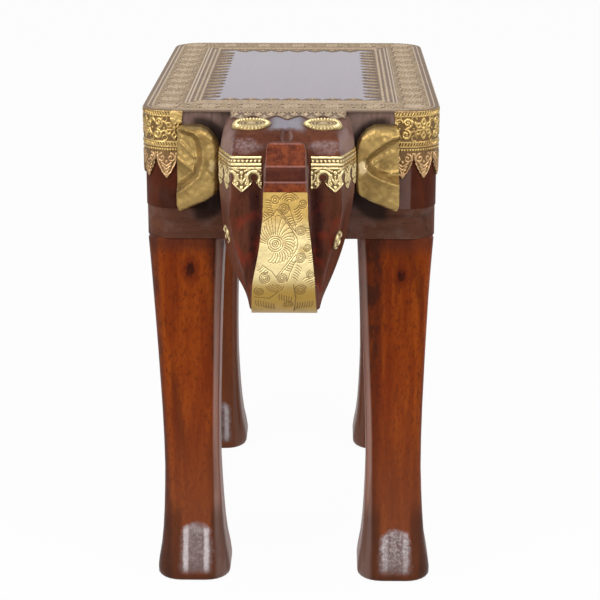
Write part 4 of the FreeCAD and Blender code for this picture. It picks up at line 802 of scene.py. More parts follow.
def slide_to_outline(loops, grid_x, grid_y, cell):
    """The nearest point of the outline, and how far it is, for grid points close to it."""
    near_x = grid_x.copy()
    near_y = grid_y.copy()
    away = np.full(grid_x.shape, far_mm)
    for loop in loops:
        for (x0, y0), (x1, y1) in zip(loop, loop[1:] + loop[:1]):
            left = max(0, int((min(x0, x1) - grid_x[0, 0]) / cell) - 1)
            right = int((max(x0, x1) - grid_x[0, 0]) / cell) + 3
            low = max(0, int((min(y0, y1) - grid_y[0, 0]) / cell) - 1)
            high = int((max(y0, y1) - grid_y[0, 0]) / cell) + 3
            part = (slice(low, high), slice(left, right))
            spot_x, spot_y, gap = nearest_on(x0, y0, x1, y1, grid_x[part], grid_y[part])
            closer = gap < away[part]
            away[part] = np.where(closer, gap, away[part])
            near_x[part] = np.where(closer, spot_x, near_x[part])
            near_y[part] = np.where(closer, spot_y, near_y[part])
    return near_x, near_y, away


def cut_grid(loops, cell):
    """Points and faces of a fine grid cut to an outline."""
    corners = [corner for loop in loops for corner in loop]
    grid_x, grid_y = np.meshgrid(*[
        np.arange(min(along) - 1.3 * cell, max(along) + 2 * cell, cell) for along in zip(*corners)])
    inside = lies_inside(loops, grid_x, grid_y)
    middle = lies_inside(loops, grid_x[:-1, :-1] + cell / 2, grid_y[:-1, :-1] + cell / 2)
    near_x, near_y, away = slide_to_outline(loops, grid_x, grid_y, cell)
    slid = (inside & (away < 0.45 * cell)) | (~inside & (away < 1.02 * cell))
    kept = inside | slid
    deep = inside & ~slid
    point_x = np.where(slid, near_x, grid_x)
    point_y = np.where(slid, near_y, grid_y)
    number = np.arange(grid_x.size).reshape(grid_x.shape)
    around, keeps, deeps = ([grid[:-1, :-1], grid[:-1, 1:], grid[1:, 1:], grid[1:, :-1]]
                            for grid in (number, kept, deep))
    any_deep = deeps[0] | deeps[1] | deeps[2] | deeps[3]
    chosen = keeps[0] & keeps[1] & keeps[2] & keeps[3] & (any_deep | middle)
    faces = np.stack([corner[chosen] for corner in around], axis=1).tolist()
    for missing in range(4):
        others = [corner for corner in range(4) if corner != missing]
        triangle = ~keeps[missing] & any_deep
        for corner in others:
            triangle = triangle & keeps[corner]
        faces += np.stack([around[corner][triangle] for corner in others], axis=1).tolist()
    return point_x.ravel(), point_y.ravel(), away.ravel(), faces


trial_corners = [(0.0, 0.0), (10.0, 0.0), (10.0, 6.0)]
print("faces in a small triangle:", len(cut_grid([trial_corners], 1.0)[3]))


# %% [markdown]
# ## Pieces of the stool
# Each piece takes the place of nodes of the construction and rides with the stool. A sheet is
# pressed by its strokes and wrapped round the object by a place function, and its cut edge is
# turned back towards the wood, so it looks solid without a second skin behind it.

# %% A piece and what it stands for
def own_piece(name, points, faces, material, crest=None):
    """A smooth mesh piece from points in millimetres, which may carry the height of its relief."""
    mesh = bpy.data.meshes.new(name)
    mesh.from_pydata((np.asarray(points) * mm).tolist(), [], faces)
    mesh.validate()
    mesh.shade_smooth()
    mesh.materials.append(material)
    if crest is not None:
        layer = mesh.attributes.new("crest", "FLOAT", "POINT")
        layer.data.foreach_set("value", np.asarray(crest, dtype=np.float32))
    piece = bpy.data.objects.new(name, mesh)
    bpy.context.collection.objects.link(piece)
    return piece


def belongs(piece, slot, *nodes):
    """Fix a piece to the stool and let it stand for construction nodes, which are hidden. The slot is
    not used.
    """
    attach(piece, "root")
    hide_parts(*nodes)


# %% Press and wrap
edge_darkening_mm = 1.2


def used_points(faces, *columns):
    """Leave out the points that no face uses, and number the faces anew."""
    used = np.unique(np.array([corner for face in faces for corner in face]))
    fresh = np.full(len(columns[0]), -1)
    fresh[used] = np.arange(len(used))
    faces = [[int(fresh[corner]) for corner in face] for face in faces]
    return faces, [column[used] for column in columns]


def open_edges(faces):
    """Edges that only one face has, in the direction in which that face runs."""
    seen = {}
    for face in faces:
        for first, second in zip(face, face[1:] + face[:1]):
            key = (min(first, second), max(first, second))
            seen[key] = None if key in seen else (first, second)
    return [edge for edge in seen.values() if edge]


def stamped_sheet(name, material, loops, relief, place, cell, back, full, level=0.0, dark_edge=0.0,
                  flip=False, tone=None, edge_darkening=0.3):
    """Cut a sheet to its outline, press the relief into it and wrap it round the object.

    The sheet lies at a level, its edge is turned back to another, and full is the height of a
    whole crest, which the mesh carries as 1. A tone, where given, says the crest by itself, and
    the edge darkening is how much darker the turned edge is.
    """
    x, y, away, faces = cut_grid(loops, cell)
    faces, (x, y, away) = used_points(faces, x, y, away)
    high = relief.heights(x, y) if relief else np.zeros(len(x))
    top = place(x, y, high + level)
    crest = tone(x, y) if tone else high / full
    crest = crest - dark_edge * np.clip(1 - away / edge_darkening_mm, 0, 1)
    edges = open_edges(faces)
    rim = sorted({corner for edge in edges for corner in edge})
    rim_place = {corner: order for order, corner in enumerate(rim)}
    count = len(x)
    low = place(x[rim], y[rim], np.zeros(len(rim)) + back)
    points = np.concatenate([top, top[rim], low])
    crest = np.concatenate([crest, crest[rim] - edge_darkening,
                            crest[rim] * (1 - 2 * edge_darkening) - 2 * edge_darkening])
    for first, second in edges:
        a = count + rim_place[first]
        b = count + rim_place[second]
        faces.append([b, a, a + len(rim), b + len(rim)])
    if flip:
        faces = [face[::-1] for face in faces]
    return own_piece(name, points, faces, material, crest)


print("sheets to press:", [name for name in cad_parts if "band" in name or "strip" in name])

# %% [markdown]
# ## Motifs
# The maker used a few punches again and again: a six-petalled flower, a scroll with two curls, a
# twisted rope and a veined leaf. Each is written once and placed along the sheets, the way the
# punches walk along them.

# %% Flower, scroll, rope and leaf
crest_mm = 0.9
rope_pitch = 2.4
rope_lean = 0.9


def flower(relief, x, y, radius, turn=90.0):
    relief.boss(x, y, 0.5 * radius, crest_mm)
    for petal in range(6):
        angle = turn + 60 * petal
        tip = turned(x, y, radius, angle)
        left = turned(x, y, 0.7 * radius, angle + 19)
        right = turned(x, y, 0.7 * radius, angle - 19)
        root = turned(x, y, 0.34 * radius, angle)
        relief.line([root, left, tip, right, root], 0.17 * radius + 0.45, crest_mm)


def scroll(relief, x, y, size, hand):
    """An S of two curls, one above the other, with small leaves beside it."""
    for half in (1, -1):
        centre_y = y + half * 0.5 * size
        relief.spiral(x + hand * half * 0.08 * size, centre_y, 0.44 * size,
                      -90 * half, hand * half * 1.4, 0.2 * size, crest_mm)
        bend_x = x - hand * half * 0.62 * size
        relief.arc(bend_x, centre_y, 0.3 * size, 90 - hand * 80, 90 + hand * 100,
                   0.17 * size, 0.85 * crest_mm)
        relief.boss(x + hand * half * 0.7 * size, centre_y, 0.2 * size, 0.7 * crest_mm)
    for side in (1, -1):
        relief.boss(x + side * 0.62 * size, y, 0.18 * size, 0.8 * crest_mm)


def rope(relief, first, last, middle, wide):
    """A twisted rope along the sheet between two plain lines."""
    for edge in (middle - wide / 2, middle + wide / 2):
        relief.line([(first, edge), (last, edge)], 0.8, 0.9 * crest_mm)
    place = first
    while place < last:
        relief.line([(place, middle - wide / 4), (place + rope_lean, middle + wide / 4)],
                    1.3, crest_mm)
        place += rope_pitch


def leaf_veins(relief, x, y, turn, length, half_width):
    """Middle vein and slanted side veins of a leaf that points along an angle in degrees."""
    relief.line([(x, y), turned(x, y, length, turn)], 0.9, crest_mm)
    for share in (0.15, 0.38, 0.6):
        root = turned(x, y, share * length, turn)
        reach = half_width * (1 - share)
        for side in (-1, 1):
            relief.line([root, turned(*root, reach, turn + side * 42)], 0.8, 0.8 * crest_mm)


flower(trial, 0, 0, 8.0)
print("strokes with a flower:", len(trial.strokes))

# %% [markdown]
# ## Way round the seat
# A brass band wraps each long side of the seat and both its corners. Its pattern is drawn unrolled:
# across is the distance round the outline, up is the height. Bending it afterwards is easier than
# drawing on a curve.

# %% Where the band lies
seat_half = 120.0
front_y = -140.5
rear_y = 239.5
corner_radius = 26.0
side_run = rear_y - front_y - 2 * corner_radius
corner_run = corner_radius * math.pi / 2
band_end = 2 * corner_run + side_run + 8.5
band_top = 405.0
band_foot = 372.0
pendant_tip = 350.0
pendant_pitch = 18.6


def round_the_seat(distance, inset):
    """Points on the seat's outline, from the front face round a corner to the rear face."""
    distance = np.asarray(distance, dtype=float)
    middle_x = seat_half - corner_radius
    reach = corner_radius - inset
    first = np.clip(distance, 0, corner_run) / corner_radius
    second = np.clip(distance - corner_run - side_run, 0, corner_run) / corner_radius
    x = middle_x + reach * np.sin(first)
    y = front_y + corner_radius - reach * np.cos(first)
    rear = distance > corner_run + side_run
    x = np.where(rear, middle_x + reach * np.cos(second), x)
    y = np.where(rear, rear_y - corner_radius + reach * np.sin(second), y)
    x = x + np.minimum(distance, 0) - np.maximum(distance - 2 * corner_run - side_run, 0)
    y = y + np.clip(distance - corner_run, 0, side_run) * (~rear)
    return x, y


def band_placer(hand):
    def place(x, y, lift):
        out_x, out_y = round_the_seat(x, crest_mm - lift)
        return np.stack([hand * out_x, out_y, y], axis=1)
    return place


print("length of a band in millimetres:", round(band_end))

# %% [markdown]
# ## Pendants of the side bands
# Each band hangs down in leaf-shaped pendants. One half of a pendant is written as widths at several
# depths, mirrored and repeated. The two bands start at different points of a pendant, as if both
# were cut from a longer strip.

# %% Band outline
# Half width of a pendant as a share of half a pitch, from its top to its tip
pendant_shares = ((0.0, 0.97), (0.12, 0.97), (0.3, 0.93), (0.36, 0.84), (0.45, 0.85), (0.52, 0.7),
                  (0.6, 0.68), (0.67, 0.5), (0.75, 0.46), (0.82, 0.28), (0.9, 0.2), (1.0, 0.0))


def repeats(anchor, pitch, start):
    """Places at one pitch in step with an anchor, from before the start to past the band's end."""
    place = anchor - pitch * math.ceil((anchor - start) / pitch)
    while place < band_end + pitch:
        yield place
        place += pitch


def band_outline(phase, start, slant):
    """Closed outline of a band, with its pendants hanging from the foot line."""
    drop = band_foot - pendant_tip
    half = [(pendant_pitch / 2 * wide, band_foot - drop * down) for down, wide in pendant_shares]
    whole = half + [(-wide, height) for wide, height in reversed(half[:-1])]
    lower = [(tip - wide, height) for tip in repeats(phase, pendant_pitch, start)
             for wide, height in whole if start + slant < tip - wide < band_end]
    lower = [(start + slant, lower[0][1])] + lower + [(band_end, lower[-1][1])]
    return [(start, band_top)] + lower + [(band_end, band_top)]


print("corners of an outline:", len(band_outline(0.0, 0.0, 0.0)))

# %% [markdown]
# ## Pattern of the side bands
# From the top down run a rope, flowers and scrolls, a second rope, a row of beads, and on each
# pendant two curls over a ribbed leaf. One function serves both bands, with another start for each.
# Only the left band is dented by the hammer where it laps over the seat's sheet.

# %% Band pattern
rope_wide = 3.8
rope_heights = (402.6, 377.9)
bead_height = 373.6
flower_pitch = 29.2
flower_height = 390.6


def press_dents(relief, start):
    """Dents of the hammer where the left band laps over the sheet of the seat."""
    for dent in range(22):
        relief.boss(start + 1.2 + (dent * 2.9) % 7.8, 403.6 - (dent * 1.7) % 8.2,
                    3.4 + (dent * 0.37) % 1.4, (0.95 + (dent * 0.23) % 0.3) * crest_mm)


def press_pendant(relief, tip):
    """Two curls, a border that follows the pendant down to its tip, and a ribbed leaf."""
    for side in (-1, 1):
        relief.spiral(tip + side * 4.1, 366.6, 3.7, 90, -side * 1.3, 1.5, crest_mm)
        relief.line([(tip + side * across, height) for across, height in (
            (8.4, 370.6), (8.2, 364.6), (6.2, 360.2), (3.4, 355.0), (0.0, 351.0))],
            1.4, 0.9 * crest_mm)
    for row in range(4):
        height = 360.6 - 2.7 * row
        reach = 4.6 - 1.15 * row
        relief.line([(tip - reach, height + 2.3), (tip, height - 0.6),
                     (tip + reach, height + 2.3)], 1.4, crest_mm)
    relief.boss(tip, 363.6, 2.6, crest_mm)


def band_pattern(phase, start, flower_at, hand):
    relief = Relief()
    if hand < 0:
        press_dents(relief, start)
    for height in rope_heights:
        rope(relief, start, band_end, height, rope_wide)
    bead = start + 1.2
    while bead < band_end:
        relief.boss(bead, bead_height, 1.9, crest_mm)
        bead += 2.3
    for place in repeats(flower_at, flower_pitch, start):
        flower(relief, place, flower_height, 8.2)
        scroll(relief, place + flower_pitch / 2, flower_height, 9.4, hand)
        for side in (-1, 1):
            for height in (flower_height - 7.6, flower_height + 7.6):
                relief.arc(place + side * 8.2, height, 2.2, 0, 300, 0.9, 0.7 * crest_mm)
    for tip in repeats(phase, pendant_pitch, start):
        press_pendant(relief, tip)
    return relief


for side, hand, phase, flower_at, start, slant in (("left", -1, 5.6, 27.5, -8.5, 5.4),
                                                   ("right", 1, 13.9, 13.0, -11.2, 2.4)):
    band = stamped_sheet(f"embossed_band_{side}", band_brass, [band_outline(phase, start, slant)],
                         band_pattern(phase, start, flower_at, hand), band_placer(hand), 0.55, -1.0,
                         crest_mm, flip=hand < 0)
    belongs(band, "brass", f"side_band_{side}")
    print(f"faces of the {side} band:", len(band.data.polygons))

# %% [markdown]
# ## Brass frame on the seat
# A flat frame of sheet leaves the plank's polished middle bare. Its inner edge is a row of
# leaf-shaped spikes, and its outer edge is turned down over the side. Two loops give the outline, so
# the same cutter serves it as the bands.

# %% Frame outline
frame_half_y = (rear_y - front_y) / 2
seat_middle_y = (front_y + rear_y) / 2
panel_half_x = 59.0
panel_half_y = 129.5
spike_long = 14.0
spike_short = 9.5
spike_pitch = 16.2
frame_level = 405.05
fold_depth = 0.9
fold_reach = 2.2
# Half width of a spike as a share of half a pitch, from its root to its tip
spike_shares = ((0.0, 0.99), (0.2, 0.93), (0.45, 0.84), (0.65, 0.7), (0.82, 0.48), (0.94, 0.22),
                (1.0, 0.04))


def spikes_along(half_run):
    """Middle of each spike on a side of the bare panel, from its middle, and their pitch."""
    count = round(2 * half_run / spike_pitch)
    pitch = 2 * half_run / count
    return [pitch * (spike + 0.5) - half_run for spike in range(count)], pitch


def spiked_side(half_run, length):
    """Places along one side of the bare panel and how far the sheet reaches over it."""
    middles, pitch = spikes_along(half_run)
    half = [(pitch / 2 * wide, length * share) for share, wide in spike_shares]
    whole = half + [(-wide, reach) for wide, reach in reversed(half)]
    return [(middle - wide, reach) for middle in middles for wide, reach in whole]


def eased_rectangle(inset, ease, steps):
    """Points all round at a distance inside the seat's outline, with round corners."""
    points = []
    for turn_x, turn_y, first in ((1, -1, -90), (1, 1, 0), (-1, 1, 90), (-1, -1, 180)):
        middle_x = turn_x * (seat_half - inset - ease)
        middle_y = seat_middle_y + turn_y * (frame_half_y - inset - ease)
        points += [turned(middle_x, middle_y, ease, first + 90 * step / steps)
                   for step in range(steps + 1)]
    return points


def frame_loops():
    root_x = panel_half_x + spike_long
    root_y = panel_half_y + spike_short
    inner = []
    for hand in (1, -1):
        inner += [(hand * place, seat_middle_y - hand * (root_y - reach))
                  for place, reach in spiked_side(panel_half_x, spike_short)]
        inner += [(hand * (root_x - reach), seat_middle_y + hand * place)
                  for place, reach in spiked_side(panel_half_y, spike_long)]
    return [eased_rectangle(0, corner_radius, 12), inner]


def frame_place(x, y, lift):
    """Flat on the seat, and turned down near its outer edge."""
    over_x = np.abs(x) - (seat_half - corner_radius)
    over_y = np.abs(y - seat_middle_y) - (frame_half_y - corner_radius)
    corner = np.hypot(np.maximum(over_x, 0), np.maximum(over_y, 0))
    outside = np.where((over_x > 0) & (over_y > 0), corner, np.maximum(over_x, over_y))
    inward = corner_radius - outside
    fall = fold_depth * np.clip(1 - inward / fold_reach, 0, 1) ** 2
    return np.stack([x, y, frame_level + lift - fall], axis=1)


print("spikes on a long side:", len(spikes_along(panel_half_y)[0]))

# %% [markdown]
# ## Pattern of the frame
# Round the bare panel run a dotted band, a double groove, and a wide band of flowers and crosses of
# curls. The four sides differ only in direction and length, so one function gives a point on any
# side, and the rest is written once.

# %% Frame pattern
dash_insets = (40.8, 44.8)
flower_inset = 20.5
curl_insets = (10.2, 30.8)
curl_pitch = 4.6


def on_side(side_x, side_y, inset):
    """From a distance along one side to a point at an inset from the outer edge."""
    if side_x:
        return lambda place: (side_x * (seat_half - inset), seat_middle_y + place)
    return lambda place: (place, seat_middle_y + side_y * (frame_half_y - inset))


def press_dashes(relief, side_x, side_y, reach):
    pitch = 7.4 if side_x else 3.4
    count = round(2 * (reach - 43) / pitch)
    for row, inset in enumerate(dash_insets):
        spot = on_side(side_x, side_y, inset)
        for dash in range(count):
            place = (reach - 43) * (2 * (dash + 0.5 * row) / count - 1)
            relief.line([spot(place), spot(place + pitch * 0.42)], 2.2, crest_mm)


def press_cross(relief, x, y):
    """Four curls round a boss, with a small boss between each two."""
    for turn in (0, 90, 180, 270):
        relief.spiral(*turned(x, y, 6.4, turn + 45), 4.4, turn + 45, 1.4, 1.1, crest_mm)
        relief.boss(*turned(x, y, 10.6, turn), 1.9, 0.8 * crest_mm)
    relief.boss(x, y, 3.0, crest_mm)


def press_flowers(relief, side_x, side_y, reach):
    spot = on_side(side_x, side_y, flower_inset)
    run = reach - flower_inset
    count = round(2 * (reach - 33) / 29)
    for step in range(count + 1):
        place = run * (2 * step / count - 1)
        flower(relief, *spot(place), 8.6, turn=90 if side_x else 0)
        if step < count:
            press_cross(relief, *spot(place + run / count))


def press_curls(relief, side_x, side_y, reach):
    for inset in curl_insets:
        spot = on_side(side_x, side_y, inset)
        run = reach - inset
        count = round(2 * run / curl_pitch)
        for step in range(count):
            place = run * (2 * (step + 0.5) / count - 1)
            relief.arc(*spot(place), 1.7, 0, 300, 0.8, 0.8 * crest_mm)


def press_spikes(relief):
    for half_run, root, length, lengthwise in (
            (panel_half_y, panel_half_x + spike_long, spike_long, True),
            (panel_half_x, panel_half_y + spike_short, spike_short, False)):
        middles, pitch = spikes_along(half_run)
        for middle in middles:
            for side in (-1, 1):
                foot = (side * root, middle) if lengthwise else (middle, side * root)
                leaf_veins(relief, foot[0], seat_middle_y + foot[1],
                           90 + 90 * side if lengthwise else -90 * side,
                           length * 0.86, pitch * 0.34)


frame_relief = Relief()
for inset, wide in ((4.4, 1.0), (8.0, 1.2), (33.8, 1.3), (36.6, 1.3)):
    groove = eased_rectangle(inset, max(corner_radius - inset, 1.0), 6)
    frame_relief.line(groove + groove[:1], wide, 0.75 * crest_mm)
for side in ((1, 0, frame_half_y), (-1, 0, frame_half_y), (0, 1, seat_half), (0, -1, seat_half)):
    press_dashes(frame_relief, *side)
    press_flowers(frame_relief, *side)
    press_curls(frame_relief, *side)
press_spikes(frame_relief)
seat_frame = stamped_sheet("embossed_seat_frame", seat_brass, frame_loops(), frame_relief,
                           frame_place, 0.7, 0.0, crest_mm, dark_edge=0.8)
belongs(seat_frame, "brass", "seat_border")
print("frame faces:", len(seat_frame.data.polygons), "strokes:", len(frame_relief.strokes))

# %% [markdown]
# ## Legs
# Each leg is one turned-and-carved post: square with round corners at the top, slim near the
# ankle, and swelling into a foot whose toe kicks forward. Stacking rounded squares and skinning
# them keeps the corners soft, which a lathe shape could not do.

# %% Sections and skin of a leg
leg_across = 85.4
leg_front_y = -105.9
leg_rear_y = 204.9
# Height, width, toe and corner radius of each section, up from the floor
leg_sections = (
    (0.0, 56.0, 6.0, 18.0), (1.2, 59.4, 8.0, 19.5), (3.2, 61.4, 9.0, 20.0),
    (8.0, 61.6, 8.6, 19.5), (16.0, 59.4, 7.4, 17.5), (28.0, 55.0, 5.4, 15.0),
    (42.0, 51.8, 3.2, 12.5), (58.0, 49.6, 1.4, 10.5), (76.0, 47.8, 0.4, 9.0),
    (97.0, 46.4, 0.0, 8.0), (122.0, 46.6, 0.0, 8.0), (150.0, 47.8, 0.0, 8.0),
    (175.0, 49.6, 0.0, 8.0), (200.0, 51.4, 0.0, 8.0), (225.0, 53.6, 0.0, 8.5),
    (250.0, 56.0, 0.0, 9.0), (275.0, 58.8, 0.0, 9.5), (298.6, 61.8, 0.0, 10.0),
    (300.0, 60.8, 0.0, 10.0))
leg_lean = 2.0
lean_from = 250.0
corner_steps = 6
side_steps = 5


def rounded_section(width, toe, radius):
    """Points round a square with round corners whose front side reaches out by the toe."""
    points = []
    half = width / 2
    corners = ((half - radius, radius - half - toe, -90), (half - radius, half - radius, 0),
               (radius - half, half - radius, 90), (radius - half, radius - half - toe, 180))
    for index, (x, y, first) in enumerate(corners):
        for step in range(corner_steps + 1):
            points.append(turned(x, y, radius, first + 90 * step / corner_steps))
        next_x, next_y, next_first = corners[(index + 1) % 4]
        end = turned(next_x, next_y, radius, next_first)
        start = points[-1]
        for step in range(1, side_steps):
            share = step / side_steps
            points.append((start[0] + (end[0] - start[0]) * share,
                           start[1] + (end[1] - start[1]) * share))
    return points


def skin(rings):
    """Faces between rings of equal length, and a cap on each end."""
    count = len(rings[0])
    points = [point for ring in rings for point in ring]
    faces = []
    for row in range(len(rings) - 1):
        for column in range(count):
            after = (column + 1) % count
            faces.append([row * count + column, row * count + after,
                          (row + 1) * count + after, (row + 1) * count + column])
    faces.append(list(range(count))[::-1])
    faces.append([(len(rings) - 1) * count + column for column in range(count)])
    return points, faces


print("points in one section:", len(rounded_section(50.0, 0.0, 8.0)))

# %% Legs
for side, hand in (("left", -1), ("right", 1)):
    for end, facing, along in (("front", 1, leg_front_y), ("rear", -1, leg_rear_y)):
        rings = []
        for height, width, toe, radius in leg_sections:
            lean = leg_lean * max(0.0, 1 - height / lean_from)
            rings.append([(hand * leg_across + lean + facing * x, along + facing * y, height)
                          for x, y in rounded_section(width, toe, radius)])
        leg = own_piece(f"carved_leg_{end}_{side}", *skin(rings), leg_wood)
        belongs(leg, "leg_wood", f"{end}_{side}_leg")
print("faces of a leg:", len(leg.data.polygons))

# %% [markdown]
# ## Soften and sculpt a block
# Head and tail are each carved from one block. The block is re-meshed in small even faces, its
# arrises are rubbed soft, and its points are pushed in or out, as a carver works on a sawn shape.
# Starting from the construction's own block keeps every brass piece seated on it.

# %% Soften and sculpt
settle_passes = 3


def bump_over(x, y, z, centre, spread):
    """1 at a centre and falling softly to 0 with the distance, each axis with its own spread."""
    square = (((x - centre[0]) / spread[0]) ** 2 + ((y - centre[1]) / spread[1]) ** 2
              + ((z - centre[2]) / spread[2]) ** 2)
    return np.exp(-square)


def rub_soft(work, passes):
    """Even out the edges of a mesh, and keep what its modifiers make of it."""
    soft = work.modifiers.new("soft_edges", "SMOOTH")
    soft.factor = 0.5
    soft.iterations = passes
    depsgraph = bpy.context.evaluated_depsgraph_get()
    mesh = bpy.data.meshes.new_from_object(work.evaluated_get(depsgraph))
    work.modifiers.clear()
    work.data = mesh
    return mesh


def sculpted(name, node, face_mm, passes, push=None):
    """Re-mesh a solid in small even faces, rub its edges soft, and push its surface about."""
    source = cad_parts[node]
    work = bpy.data.objects.new(name, source.data.copy())
    work.matrix_world = source.matrix_world
    bpy.context.collection.objects.link(work)
    even = work.modifiers.new("even_faces", "REMESH")
    even.mode = "VOXEL"
    even.voxel_size = face_mm * mm
    mesh = rub_soft(work, passes)
    if push:
        flat = np.empty(len(mesh.vertices) * 3, dtype=np.float32)
        mesh.vertices.foreach_get("co", flat)
        points = flat.reshape(-1, 3) / mm
        normals = np.empty(len(mesh.vertices) * 3, dtype=np.float32)
        mesh.vertex_normals.foreach_get("vector", normals)
        points = push(points, normals.reshape(-1, 3)) * mm
        mesh.vertices.foreach_set("co", points.astype(np.float32).ravel())
        mesh.update()
        mesh = rub_soft(work, settle_passes)
    mesh.shade_smooth()
    mesh.materials.clear()
    mesh.materials.append(head_wood)
    belongs(work, "head_wood", node)
    return work


print("passes over a block after carving:", settle_passes)

# %% [markdown]
# ## The rounded brow
# The top of the face is rounded over the front, the slanted facets and the cheeks. One rule says how
# deep a point lies behind the nearest of them. The head, the leaves, the band and the discs all
# ask that rule, so the brass follows the wood exactly.

# %% Rounding of the brow
wood_front_y = -138.5
head_reach = 77.0
face_half = 42.0
cheek_half = 52.5
cheek_depth = 45.0
crown_fall = math.tan(math.radians(3.7))
round_front = 24.0
round_facet = 15.0
round_cheek = 13.0
round_height = 22.0
blend = 8.0
trunk_ahead = 80.0


def smooth_step(value, low, high):
    share = np.clip((value - low) / (high - low), 0, 1)
    return share * share * (3 - 2 * share)


def crown(forward):
    return 405.0 - crown_fall * forward


def brow_walls(side, ahead):
    """How deep a point lies behind the front, the facet and the cheek, in shares of the rounding.

    Gives the nearest of the three, blended softly, and the way inwards from it.
    """
    run = math.hypot(cheek_half - face_half, head_reach - cheek_depth)
    out_side = (head_reach - cheek_depth) / run
    out_ahead = (cheek_half - face_half) / run
    facet = (face_half - side) * out_side + (head_reach - ahead) * out_ahead
    shares = np.stack([(head_reach - ahead) / round_front, facet / round_facet,
                       (cheek_half - side) / round_cheek])
    weights = np.exp(-blend * np.clip(shares, -1, 4))
    total = weights.sum(axis=0)
    nearest = -np.log(total) / blend
    weights /= total
    inward_side = -weights[1] * out_side * round_facet - weights[2] * round_cheek
    inward_ahead = -weights[0] * round_front - weights[1] * out_ahead * round_facet
    return nearest, inward_side, inward_ahead


def brow_drop(side, ahead):
    """How far the rounded brow lies below the flat crown."""
    nearest = np.clip(brow_walls(side, ahead)[0], 0, 1)
    return round_height * (1 - np.sqrt(1 - (1 - nearest) ** 2))


def brow_retreat(height):
    """How far the rounded brow lies behind the upright face."""
    up = np.clip((height - crown(head_reach) + round_height) / round_height, 0, 1)
    return round_front * (1 - np.sqrt(1 - up ** 2))


def round_brow(across, ahead, height):
    """Pull points that stick out of the rounding back to it, but not those of the trunk."""
    side = np.abs(across)
    nearest, inward_side, inward_ahead = brow_walls(side, ahead)
    deep = 1 - nearest
    low = 1 - (crown(ahead) - height) / round_height
    reach = np.hypot(np.clip(deep, 0, None), np.clip(low, 0, None))
    outside = (deep > 0) & (low > 0) & (reach > 1) & (ahead < trunk_ahead)
    share = np.where(outside, 1 - 1 / np.maximum(reach, 1), 0)
    step = share * deep
    side = side + step * inward_side
    return (np.sign(across) * side, ahead + step * inward_ahead,
            height - share * low * round_height)


print("the rounding takes", brow_drop(np.array([0.0]), np.array([head_reach]))[0], "mm in front")

# %% [markdown]
# ## The carved head
# The carver hollowed the face beside the trunk and round the eyes, left the cheeks full, cut a
# valley between two lobes of the brow, and drifted to the left low down. Soft bumps with a centre
# and a spread are enough for that, and stay easy to move.

# %% Head
tip_half = 15.0
tip_top = 396.5
tip_corner = 6.0
tip_behind = 78.0
# Depth of each cut (out is positive), and its centre and spread: aside, ahead and up
gouge_cuts = ((-2.6, (33, 76, 338), (9, 14, 17)),
              (1.0, (27, 76, 303), (10, 14, 16)),
              (-1.6, (20, 76, 335), (5, 14, 40)))


def carved_lean(across, height):
    """How far the carver's hand drifted to the left: the lower trunk, and a fuller left cheek."""
    full = np.exp(-((height - 305) / 34) ** 2) * smooth_step(-across, 22, 40)
    return -1.4 * smooth_step(-height, -325, -285) - 3.4 * full


def round_tip(across, ahead, height):
    """Take the sharp corners off the tip of the trunk."""
    side = np.abs(across)
    over_side = np.clip(side - tip_half + tip_corner, 0, None)
    over_top = np.clip(height - tip_top + tip_corner, 0, None)
    reach = np.hypot(over_side, over_top)
    round_off = np.where((ahead > tip_behind) & (side < tip_half + 1) & (reach > tip_corner),
                         1 - tip_corner / np.maximum(reach, 1e-6), 0)
    return across - np.sign(across) * over_side * round_off, height - over_top * round_off


def carve_head(points, normals):
    """Hollows and cheeks, the rounded brow with its lobes and valley, the tip, and the lean."""
    across = points[:, 0] - head_middle
    ahead = wood_front_y - points[:, 1]
    height = points[:, 2]
    facing = np.clip(-normals[:, 1], 0, 1)
    side = np.abs(across)
    push = np.zeros(len(points))
    for depth, centre, spread in gouge_cuts:
        push += depth * facing * bump_over(side, ahead, height, centre, spread)
    moved = points + normals * push[:, None]
    across, ahead, height = round_brow(moved[:, 0] - head_middle, wood_front_y - moved[:, 1],
                                       moved[:, 2])
    side = np.abs(across)
    lobe = 1.3 * bump_over(side, ahead, height, (29, 71, 389), (15, 12, 9))
    valley = 2.2 * bump_over(side, ahead, height, (0, 64, 399), (6, 15, 14))
    valley *= (ahead < tip_behind)
    across, height = round_tip(across, ahead, height)
    ahead = ahead + 0.8 * lobe - 0.6 * valley
    height = height + 0.5 * lobe - 0.9 * valley
    across = across + carved_lean(across, height)
    return np.stack([across + head_middle, wood_front_y - ahead, height], axis=1)


head = sculpted("carved_elephant_head", "elephant_head", 0.95, 9, carve_head)
tail = sculpted("carved_tail", "tail", 0.6, 5)
print("head faces:", len(head.data.polygons), "tail faces:", len(tail.data.polygons))

# %% [markdown]
# ## Brass leaves over the crown
# A strip of five leaves laps from the seat over the top of the head. It is flat on the seat and
# bends down with the rounded brow, so its place function takes the height of the wood under it.

# %% Leaves over the crown
fringe_half = 46.0
fringe_root = 2.4
fringe_leaves = 5
fringe_notch = 19.5
fringe_tip = 31.0
fringe_pitch = 18.4


def fringe_place(x, y, lift):
    drop = brow_drop(np.abs(x), y) * smooth_step(y, 2.0, 13.0)
    return np.stack([x + head_middle, wood_front_y - y, crown(y) - drop + lift], axis=1)


def fringe_loop():
    points = [(-fringe_half, fringe_root), (-fringe_half, fringe_notch)]
    half = fringe_pitch / 2
    for leaf in range(fringe_leaves):
        middle = -fringe_half + fringe_pitch * (leaf + 0.5)
        points += [(middle + half * across, fringe_notch + (fringe_tip - fringe_notch) * share)
                   for across, share in ((-0.62, 0.3), (-0.3, 0.72), (0.0, 1.0), (0.3, 0.72),
                                         (0.62, 0.3), (1.0, 0.0))]
    return points + [(fringe_half, fringe_root)]


